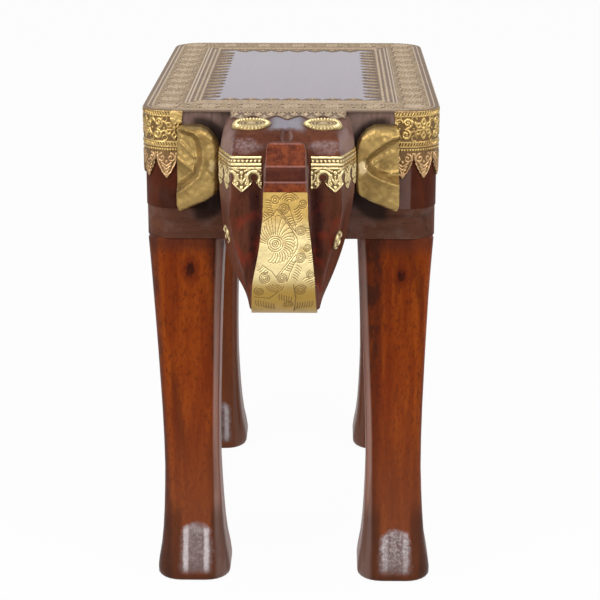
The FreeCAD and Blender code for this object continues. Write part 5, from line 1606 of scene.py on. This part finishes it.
fringe_relief = Relief()
rope(fringe_relief, -fringe_half, fringe_half, 5.0, 3.4)
for bead in range(30):
    fringe_relief.boss(-fringe_half + 1.6 + 3.1 * bead, 9.0, 1.8, crest_mm)
for leaf in range(fringe_leaves):
    middle = -fringe_half + fringe_pitch * (leaf + 0.5)
    for hand in (-1, 1):
        fringe_relief.spiral(middle + hand * 4.4, 15.2, 3.6, 90, -hand * 1.3, 1.1, crest_mm)
        fringe_relief.line([(middle + hand * 8.4, 19.5), (middle + hand * 5.0, 23.0),
                            (middle, 29.6)], 1.1, crest_mm)
    leaf_veins(fringe_relief, middle, 18.0, 90, 10.0, 3.6)
fringe = stamped_sheet("embossed_crown_leaves", seat_brass, [fringe_loop()], fringe_relief,
                       fringe_place, 0.5, 0.0, crest_mm, level=0.45, dark_edge=1.0)
belongs(fringe, "brass", "head_fringe")
print("faces of the leaves:", len(fringe.data.polygons))

# %% [markdown]
# ## Path of the brow band
# The pierced band runs across the face, round its edge and onto the cheek, and ends at the trunk.
# Five points close together are averaged to round its corners, as sheet bends. Its lower edge hangs
# in drops with keyholes between them, which are part of the outline and so are really open.

# %% Path of the brow band
brow_near = 18.9
brow_far = 84.0
bend_reach = 3.2
brow_top = 384.0
brow_foot = 356.0
keyhole_height = 367.4
keyhole_radius = 2.7
brow_full = 0.8


def brow_path(distance, lift):
    """Across the face, round its edge, along the facet and round onto the cheek."""
    corner_x = np.array([0.0, face_half, cheek_half, cheek_half])
    corner_u = np.array([head_reach, head_reach, cheek_depth, 0.0])
    run = np.concatenate([[0.0], np.cumsum(np.hypot(np.diff(corner_x), np.diff(corner_u)))])
    spots = []
    for step in (-1.0, -0.5, 0.0, 0.5, 1.0):
        at = np.clip(distance + step * bend_reach, 0, run[-1])
        spots.append(np.stack([np.interp(at, run, corner_x), np.interp(at, run, corner_u)], axis=1))
    middle = sum(spot / len(spots) for spot in spots)
    turn = spots[-1] - spots[0]
    turn /= np.linalg.norm(turn, axis=1)[:, None]
    outward = np.stack([-turn[:, 1], turn[:, 0]], axis=1)
    return middle + outward * lift[:, None]


def brow_placer(hand):
    def place(x, y, lift):
        path = brow_path(np.asarray(x, dtype=float), lift - brow_retreat(y))
        return np.stack([head_middle + hand * path[:, 0], wood_front_y - path[:, 1], y], axis=1)
    return place


print("width of a brow band in millimetres:", round(brow_far - brow_near, 1))

# %% Pierced brow band
def brow_loop(tips):
    """Outline of one half: drops with pointed tips, and a keyhole in each gap between them."""
    points = [(brow_near, brow_top), (brow_near, brow_foot + 3.0)]
    for tip, following in zip(tips, tips[1:]):
        if brow_near < tip < brow_far:
            points.append((tip, brow_foot))
        gap = (tip + following) / 2
        half = (following - tip) / 2
        left = [(gap - half * 0.5, brow_foot + 3.5), (gap - 0.9, keyhole_height - 2.6)]
        hole = [turned(gap, keyhole_height, keyhole_radius, 250 - 320 * step / 12)
                for step in range(13)]
        right = [(2 * gap - x, y) for x, y in reversed(left)]
        points += [(x, y) for x, y in left + hole + right if brow_near + 0.4 < x < brow_far - 0.4]
    return points + [(brow_far, brow_foot + 6.0), (brow_far, brow_top)]


def brow_pattern(tips):
    relief = Relief()
    for height, wide in ((brow_top - 1.1, 2.0), (brow_top - 6.6, 2.0), (brow_top - 9.2, 1.3)):
        relief.line([(brow_near, height), (brow_far, height)], wide, brow_full)
    bead = brow_near + 1.0
    while bead < brow_far:
        relief.boss(bead, brow_top - 3.9, 2.3, 0.75 * brow_full)
        bead += 3.2
    for tip, following in zip(tips, tips[1:]):
        gap = (tip + following) / 2
        relief.arc(gap, keyhole_height, 4.9, -38, 218, 2.5, brow_full)
        for side in (-1, 1):
            relief.spiral(gap + side * 5.6, keyhole_height - 4.4, 2.0, 90, side * 1.0, 1.4, brow_full)
            relief.line([(gap + side * 1.4, keyhole_height + 7.4),
                         (gap + side * 6.6, keyhole_height + 5.0)], 1.5, 0.85 * brow_full)
    for tip in tips:
        relief.boss(tip, brow_foot + 3.6, 3.0, brow_full)
        relief.boss(tip, brow_foot + 15.0, 3.2, brow_full)
        relief.line([(tip, brow_foot + 7.0), (tip, brow_foot + 12.0)], 1.7, brow_full)
        for side in (-1, 1):
            relief.line([(tip + side * 7.2, brow_foot + 6.9), (tip + side * 0.5, brow_foot + 1.0)],
                        1.4, brow_full)
            relief.line([(tip, brow_foot + 6.6), (tip + side * 2.6, brow_foot + 10.6),
                         (tip + side * 3.0, brow_foot + 13.4)], 1.7, brow_full)
    return relief


for side, hand, tips in (("left", -1, [-2.8, 15.4, 33.7, 52.0, 70.2, 88.4]),
                         ("right", 1, [0.7, 18.9, 37.1, 55.3, 73.5, 91.7])):
    band = stamped_sheet(f"pierced_brow_band_{side}", bright_brass, [brow_loop(tips)],
                         brow_pattern(tips), brow_placer(hand), 0.4, -0.8, brow_full,
                         level=0.35, flip=hand > 0)
    belongs(band, "brass", f"forehead_band_{side}")
    print(f"faces of the {side} brow band:", len(band.data.polygons))

# %% [markdown]
# ## Sheet down the trunk
# The sheet runs down the front of the raised trunk and turns under it, ever wider. In side view it
# is two arcs. Distances along them are the sheet's own length, so a pattern that is drawn flat keeps
# its size round the turn.

# %% Sheet down the trunk
strip_neck = 362.0
turn_height = 300.0
turn_centre_u = 74.0
turn_radius = 38.0
lean_radius = 244.0
lean_centre_u = -132.0
lean_run = lean_radius * math.asin((strip_neck - turn_height) / lean_radius)
strip_run = lean_run + turn_radius * math.radians(80)
strip_flare = ((362.0, 16.6), (342.0, 17.2), (318.0, 20.1), (295.0, 23.5), (262.0, 25.4))
strip_full = 0.5
strip_steps = 40


def strip_path(along, lift):
    """Down the front of the trunk and under its turn, by distance from the neck."""
    rise = (lean_run - along) / lean_radius
    below = np.clip(along - lean_run, 0, None) / turn_radius
    lean = along < lean_run
    forward = np.where(lean, lean_centre_u + (lean_radius + lift) * np.cos(rise),
                       turn_centre_u + (turn_radius + lift) * np.cos(below))
    height = np.where(lean, turn_height + (lean_radius + lift) * np.sin(rise),
                      turn_height - (turn_radius + lift) * np.sin(below))
    return forward, height


def strip_place(x, y, lift):
    forward, height = strip_path(-y, lift)
    return np.stack([head_middle + x + carved_lean(x, height), wood_front_y - forward, height], axis=1)


def strip_height_at(height):
    """Pattern height of a point on the strip's front, whose zero is the neck."""
    if height > turn_height:
        return -(lean_run - lean_radius * math.asin((height - turn_height) / lean_radius))
    return -(lean_run + turn_radius * math.asin(min(1.0, (turn_height - height) / turn_radius)))


def strip_loop():
    along = strip_run * np.arange(strip_steps + 1) / strip_steps
    height = strip_path(along, 0.0)[1]
    levels, halves = zip(*reversed(strip_flare))
    half = np.interp(height, levels, halves) - 0.1
    right = list(zip(half.tolist(), (-along).tolist()))
    return right + [(-x, y) for x, y in reversed(right)]


print("length of the sheet in millimetres:", round(strip_run, 1))

# %% [markdown]
# ## Tools of the engraver
# Engraving is the reverse of embossing: lines are cut into a plain sheet. One class holds the cuts
# and gives the height that is left. It knows a whorl, a comb of teeth and a fan of petals, which
# are then drawn where the real sheet has them.

# %% Tools of the engraver
rosette = (-7.4, 324.1)
line_wide = 0.88
fan_petals = 26
linked_petals = 18


def on_strip(x, height):
    """A point of the flat pattern from a height on the real trunk."""
    return (x, strip_height_at(height))


class Engraving:
    """Heights of the trunk sheet: plain on top, with a rosette, whorls and combs cut into it."""

    def __init__(self):
        self.cuts = Relief()

    def line(self, *points):
        self.cuts.line([on_strip(*point) for point in points], line_wide, 1.0)

    def whorl(self, x, height, radius, first, turns):
        self.cuts.spiral(*on_strip(x, height), radius, first, turns, line_wide, 1.0)

    def comb(self, start, stop, teeth, reach, bend, wide=line_wide):
        """Short curved teeth on one side of a line that runs from start to stop."""
        length = math.dist(start, stop)
        go_x = (stop[0] - start[0]) / length
        go_y = (stop[1] - start[1]) / length
        for tooth in range(teeth):
            points = []
            for way in (0.0, 0.25, 0.5, 0.75, 1.0):
                along = (tooth + 0.5 + bend * way * way) * length / teeth
                out = reach * way
                points.append(on_strip(start[0] + go_x * along + go_y * out,
                                       start[1] + go_y * along - go_x * out))
            self.cuts.line(points, wide, 1.0)

    def fan(self, reach_side, reach_up):
        """Petals round the rosette: short below, longer to the right, longest straight up."""
        middle = on_strip(*rosette)
        tips = []
        for petal in range(fan_petals):
            angle = -98 + 11.0 * petal
            up = max(0.0, math.sin(math.radians(angle))) ** 5
            reach = reach_side + (reach_up - reach_side) * up
            if 178 < angle < 200:
                reach = 0.5 * reach
            bend = -13 * (1 - up)
            points = [turned(*middle, 7.0 + (reach - 7.0) * way, angle + bend * way * way)
                      for way in (0.0, 0.35, 0.7, 1.0)]
            self.cuts.line(points, 0.9 * line_wide, 1.0)
            tips.append(points[-1])
        for first, second in zip(tips, tips[1:linked_petals]):
            bulge = (0.54 * (first[0] + second[0]) - 0.08 * middle[0],
                     0.54 * (first[1] + second[1]) - 0.08 * middle[1])
            self.cuts.line([first, bulge, second], 0.8 * line_wide, 0.8)

    def heights(self, x, y):
        return strip_full * (1 - self.cuts.heights(x, y))


print("the rosette lies", round(-strip_height_at(rosette[1]), 1), "mm below the neck")

# %% Drawing on the trunk
engraving = Engraving()
for radius in (1.0, 2.4, 4.2, 5.9):
    engraving.cuts.ring(*on_strip(*rosette), radius, line_wide, 1.0)
engraving.fan(14.0, 20.5)
level = rosette[1]
for hand in (1, -1):
    # the same corner above and below the rosette
    for points in (((-6.0, 25.6), (2.0, 14.6), (8.6, 4.6), (9.6, 0.0)),
                   ((-3.8, 24.8), (3.8, 14.6), (8.0, 8.4)),
                   ((2.4, 29.0), (4.6, 22.0), (8.0, 13.0)),
                   ((-6.0, 25.6), (-9.4, 21.0), (-16.6, 16.4))):
        engraving.line(*[(x, level + hand * y) for x, y in points])
    for x, y, radius, first in ((-1.2, 26.0, 4.3, -120), (11.8, 10.2, 4.2, 150)):
        engraving.whorl(x, level + hand * y, radius, hand * first, 3.0)
    for start, stop, teeth, reach, bend in (((0.6, 20.4), (6.0, 12.6), 5, -2.9, 0.5),
                                            ((6.2, 26.0), (9.4, 15.2), 6, -4.4, -0.9),
                                            ((-11.4, 21.4), (-17.6, 17.4), 4, 4.2, 0.8)):
        engraving.comb((start[0], level + hand * start[1]), (stop[0], level + hand * stop[1]),
                       teeth, hand * reach, bend)
for whorl in ((-14.3, 297.6, 4.6, 60, 3.0), (16.6, 321.4, 3.2, 180, 2.4),
              (12.8, 288.4, 4.8, 20, 3.0), (-18.4, 287.0, 4.0, 120, 2.4),
              (3.2, 275.6, 4.4, 200, 2.6), (20.0, 300.8, 3.4, 90, 2.4),
              (13.0, 353.6, 3.6, 200, 2.4)):
    engraving.whorl(*whorl)
for reach in (2.2, 3.9, 5.6, 7.3):
    engraving.cuts.arc(*on_strip(3.0, 354.6), reach, 20, 160, line_wide, 1.0)
    engraving.cuts.arc(*on_strip(-6.6, 293.6), reach, 200, 340, line_wide, 0.9)
for radius in (2.9, 1.3):
    engraving.cuts.ring(*on_strip(-7.6, 356.6), radius, line_wide, 1.0)
for comb in (((-15.0, 357.0), (-12.0, 344.6), 7, -3.6, 0.9),
             ((17.6, 326.6), (14.8, 336.4), 6, 3.4, -0.8),
             ((18.2, 309.0), (18.0, 317.6), 5, 3.4, 0.8),
             ((-4.0, 285.4), (7.0, 281.6), 6, 5.0, 0.9, 0.8),
             ((13.6, 297.6), (21.6, 291.0), 5, -4.2, 0.8, 0.8),
             ((-22.0, 280.0), (-6.6, 275.6), 8, 5.4, 0.9, 0.8),
             ((9.4, 276.6), (22.6, 279.0), 7, 5.4, -0.9, 0.8)):
    engraving.comb(*comb)
engraving.line((7.4, 293.0), (9.2, 282.0), (7.6, 268.0))
engraving.line((-22.4, 282.4), (-11.0, 281.0), (-4.6, 286.4))

strip = stamped_sheet("engraved_trunk_strip", trunk_brass, [strip_loop()], engraving,
                      strip_place, 0.38, -0.5, strip_full, level=0.42)
belongs(strip, "brass", "trunk_strip")
print("strip faces:", len(strip.data.polygons))

# %% [markdown]
# ## Round plates
# Discs and rosettes are stamped rounds of sheet. A round plate is a fan of rings whose height comes
# from a profile, by share of radius and angle. The construction has a plain plate in the same place,
# and the direction in which its points are flattest is the way it looks.

# %% A round plate
plate_rings = 34
plate_around = 180


def seat_of(node):
    """Centre and outward axes of a round plate of the construction, in millimetres."""
    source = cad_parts[node]
    corners = np.array([list(source.matrix_world @ vertex.co) for vertex in source.data.vertices]) / mm
    middle = (corners.max(axis=0) + corners.min(axis=0)) / 2
    outward = np.linalg.svd(corners - corners.mean(axis=0), full_matrices=False)[2][2]
    if outward[2] + 2 * abs(outward[0]) * np.sign(outward[0] * (middle[0] - head_middle)) < 0:
        outward = -outward
    sideways = np.cross(outward, [0.0, 1.0, 0.0])
    sideways /= np.linalg.norm(sideways)
    return middle, outward, sideways, np.cross(outward, sideways)


def plate_faces():
    """Faces between the rings, a turned edge, and a fan round the hub."""
    faces = []
    for row in range(plate_rings):
        for column in range(plate_around):
            after = (column + 1) % plate_around
            faces.append([(row + 1) * plate_around + column, (row + 1) * plate_around + after,
                          row * plate_around + after, row * plate_around + column])
    hub = (plate_rings + 1) * plate_around
    return faces + [[hub, column, (column + 1) % plate_around] for column in range(plate_around)]


def round_plate(name, node, radius, thick, profile, base, bent):
    """A plate in the place of a node, bent over what carries it."""
    middle, outward, sideways, upward = seat_of(node)
    shares = np.linspace(0, 1, plate_rings + 1)[1:]
    angles = np.arange(plate_around) * 2 * math.pi / plate_around
    share, angle = np.meshgrid(shares, angles, indexing="ij")
    level = profile(share, angle)
    flat = (np.cos(angle) * share * radius, np.sin(angle) * share * radius)
    points = (middle + outward * base
              + flat[0][..., None] * sideways + flat[1][..., None] * upward
              + (level * thick)[..., None] * outward).reshape(-1, 3)
    centre = middle + outward * (base + thick * float(profile(np.array([0.0]), np.array([0.0]))[0]))
    low = (middle + outward * (base - 0.4)
           + flat[0][-1][:, None] * sideways + flat[1][-1][:, None] * upward)
    points = bent(np.concatenate([points, low, centre[None, :]]))
    crest = np.concatenate([level.ravel() - 0.15, np.zeros(plate_around) - 0.5, [0.8]])
    plate = own_piece(name, points, plate_faces(), bright_brass, crest)
    belongs(plate, "brass", node)


print("faces of a round plate:", len(plate_faces()))

# %% [markdown]
# ## Discs on the crown and rosettes beside the eyes
# Two ribbed discs bend with the brow, and a beaded rosette on each side of the face stands for an
# eye. The maker nailed them by eye, so each sits a little off its place in the construction.

# %% Discs and rosettes
disc_back = 4.0
disc_inward = 2.3
# Steps of the rosettes along their facets: the left one sits further back and the right one lower
rosette_steps = {"left": (-3.0, 4.2, -0.9), "right": (-3.9, -10.6, -1.4)}


def ribbed_disc(share, angle):
    """Low dome, two rings, then broad ribs that roll over a round edge."""
    ribs = 0.5 + 0.5 * np.cos(30 * angle)
    outer = np.clip((share - 0.66) / 0.08, 0, 1) * np.clip((1.0 - share) / 0.2, 0, 1) ** 0.5
    dome = np.clip(1 - (share / 0.3) ** 2, 0, 1) ** 0.5
    rings = np.maximum(np.clip(1 - ((share - 0.42) / 0.07) ** 2, 0, 1),
                       np.clip(1 - ((share - 0.58) / 0.06) ** 2, 0, 1))
    return np.maximum(np.maximum(0.5 * dome, 0.45 * rings), outer * (0.4 + 0.6 * ribs)) + 0.02


def beaded_rosette(share, angle):
    """A round boss in a ring of beads."""
    beads = np.sqrt(np.clip(np.cos(6 * angle) * 0.5 + 0.5, 0, 1))
    ring = np.clip(1 - ((share - 0.78) / 0.2) ** 2, 0, 1) * (0.35 + 0.65 * beads)
    dome = np.clip(1 - (share / 0.45) ** 2, 0, 1) ** 0.5
    return np.maximum(dome, ring)


def draped(points):
    """Move a disc a little towards the seat and the middle and bend it over the rounded brow."""
    moved = points.copy()
    moved[:, 0] -= disc_inward * np.sign(moved[:, 0].mean())
    moved[:, 1] += disc_back
    flat = crown(wood_front_y - points[:, 1])
    ahead = wood_front_y - moved[:, 1]
    drop = brow_drop(np.abs(moved[:, 0] - head_middle), ahead)
    moved[:, 2] += crown(ahead) - flat - drop
    return moved


for side, step in rosette_steps.items():
    round_plate(f"ribbed_disc_{side}", f"forehead_disc_{side}", 15.5, 2.1, ribbed_disc, -0.5,
                draped)
    round_plate(f"beaded_rosette_{side}", f"eye_rosette_{side}", 8.2, 1.6, beaded_rosette, -0.2,
                lambda points: points + np.array(step))
print("round plates:", 2 * len(rosette_steps))

# %% [markdown]
# ## Ear outline
# Each ear is a carved half-round lobe under thin brass: a broad rounded rim, and a dish that opens
# towards the corner post, where the sheet is creased. Its front is one height over its outline, so
# it is pressed like the other sheets, only deeper.

# %% Ear outline
ear_foot = 326.0
ear_head = 395.0
ear_dish_depth = 10.5
# Corners from the post towards the head, as shares of the ear's width and height
ear_shares = ((0.02, 0.965), (0.1, 0.985), (0.3, 1.0), (0.58, 1.0), (0.74, 0.965), (0.87, 0.9),
              (0.96, 0.82), (1.0, 0.75), (1.0, 0.6), (0.985, 0.36), (0.97, 0.29), (0.92, 0.245),
              (0.85, 0.21), (0.7, 0.155), (0.5, 0.1), (0.3, 0.05), (0.12, 0.0), (0.04, 0.02),
              (0.0, 0.08), (0.0, 0.5))


def gap_to(corners, x, y):
    """Distance from many points to a line through corners."""
    return np.min([nearest_on(*first, *second, x, y)[2]
                   for first, second in zip(corners, corners[1:])], axis=0)


print("height of an ear in millimetres:", ear_head - ear_foot)

# %% Form of an ear
ear_back = -99.0
ear_least = 3.2
post_side = 0.09


class Ear:
    """The lobe of one ear: a rounded rim round a dish that is open towards the post."""

    def __init__(self, post_x, width, round_over, rim, folds):
        self.post_x = post_x
        self.width = width
        self.round_over = round_over
        self.loop = [(across * width, up * (ear_head - ear_foot)) for across, up in ear_shares]
        self.outer = [corner for corner in self.loop if corner[0] > post_side * width]
        self.rim = rim
        self.dish = [(-4.0, rim[0][1])] + rim + [(-4.0, rim[-1][1])]
        self.folds = folds

    def hollow(self, x, y):
        """How deep the dish is: it drops quickly behind its rim, then runs level."""
        within = gap_to(self.rim, x, y)
        inside = lies_inside([self.dish], x, y)
        depth = ear_dish_depth * smooth_step(within, -1.5, 5.5)
        lip = 0.9 * np.exp(-((within - 1.5) / 2.2) ** 2)
        return np.where(inside, depth, -lip)

    def form(self, x, y):
        """How far the ear stands out from the board."""
        share = np.clip(x / self.width, 0, 1)
        plain = 16.0 + 13.5 * share ** 0.8
        over = 7.0 + (self.round_over - 7.0) * smooth_step(share, 0.7, 0.92)
        fall = np.clip(1 - gap_to(self.outer, x, y) / over, 0, 1)
        plain = plain - over * (1 - np.sqrt(np.clip(1 - fall ** 2, 0, 1)))
        hollow = self.hollow(x, y)
        for first, last, wide, high in self.folds:
            hollow -= high * np.exp(-(gap_to([first, last], x, y) / wide) ** 2)
        return np.maximum(plain - hollow, ear_least)

    def tone(self, x, y):
        """Bright on the rim and dull in the dish, with painted shade in its corner along the rim."""
        hollow = self.hollow(x, y)
        # painted shade in the corner of the dish, along the foot of its rim
        corner = np.exp(-(gap_to(self.rim, x, y) / 2.6) ** 2) * (hollow > 2)
        return 1 - 0.45 * np.clip(hollow / ear_dish_depth, 0, 1) - 0.4 * corner

    def placer(self, hand):
        """Places for the front by its form, and for the turned edge by the slanted back."""
        def place(x, y, lift):
            share = np.clip(x / self.width, 0, 1)
            back = 3.0 + 10.0 * np.clip((share - 0.45) / 0.55, 0, 1)
            stand = np.where(lift < ear_back / 2, back, self.form(x, y) + lift)
            return np.stack([hand * (self.post_x - x), wood_front_y - stand, y + ear_foot], axis=1)
        return place


print("corners of an ear:", len(ear_shares))

# %% [markdown]
# ## The two ears
# The rim of each dish and its folds are listed from the post towards the head. A fold is a soft
# ridge between two points, with a width and a height. The right ear stands nearer the middle.

# %% Ears
left_ear = Ear(
    post_x=90.4, width=35.2, round_over=7.0,
    rim=[(5.2, 66.5), (14.4, 64.6), (18.8, 60.0), (21.2, 51.5), (21.0, 41.5), (17.2, 30.4),
         (10.0, 23.6), (0.0, 15.6)],
    folds=(((3.5, 54.5), (14.5, 44.0), 1.5, 1.6), ((0.0, 41.5), (12.0, 33.0), 1.6, 0.8),
           ((9.0, 62.0), (12.5, 52.0), 2.2, 1.0)))
right_ear = Ear(
    post_x=86.8, width=35.4, round_over=3.6,
    rim=[(0.0, 60.5), (5.6, 59.4), (11.6, 56.9), (19.2, 52.0), (27.0, 45.3), (27.4, 39.2),
         (22.8, 33.8), (15.2, 28.9), (7.4, 25.4), (0.0, 22.6)],
    folds=(((4.0, 55.5), (20.0, 47.5), 1.5, 1.5), ((6.0, 47.0), (19.0, 41.0), 1.5, 0.9),
           ((0.0, 31.0), (13.0, 30.5), 1.4, 0.9), ((26.0, 45.0), (17.0, 36.0), 2.0, 0.8)))
for side, hand, form in (("left", -1, left_ear), ("right", 1, right_ear)):
    ear = stamped_sheet(f"brass_ear_{side}", ear_brass, [form.loop], None, form.placer(hand), 0.5,
                        ear_back, 1.0, flip=hand < 0, tone=form.tone, edge_darkening=0.0)
    belongs(ear, "aged_brass", f"ear_cladding_{side}", f"ear_{side}")
    print(f"faces of the {side} ear:", len(ear.data.polygons))

# %% [markdown]
# ## Dress the construction
# The plank, boards, rails, posts and hidden pieces keep the construction's own shape. They need only
# a finish, and a fine bevel on each arris, because a perfectly sharp edge catches no light.

# %% Dress the construction
arris_mm = 0.8
arris_degrees = 40


def dress(material, *names, arris=arris_mm):
    """Give construction nodes their finish, and rub their arrises round by a width."""
    for name in names:
        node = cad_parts[name]
        node.data.materials.clear()
        node.data.materials.append(material)
        if arris:
            soft = node.modifiers.new("rubbed_arris", "BEVEL")
            soft.width = arris * mm
            soft.segments = 2
            soft.limit_method = "ANGLE"
            soft.angle_limit = math.radians(arris_degrees)


dress(board_wood, "front_board", "rear_board", "left_board", "right_board")
dress(rail_wood, "front_rail", "rear_rail", "left_rail", "right_rail")
dress(post_wood, "front_left_post", "front_right_post", "rear_left_post", "rear_right_post")
dress(panel_wood, "seat_board", arris=0)
dress(rail_wood, "corner_blocks", "leg_dowels", arris=0)
dress(steel, "head_screws", arris=0)
print("arrises rubbed by", arris_mm, "mm")
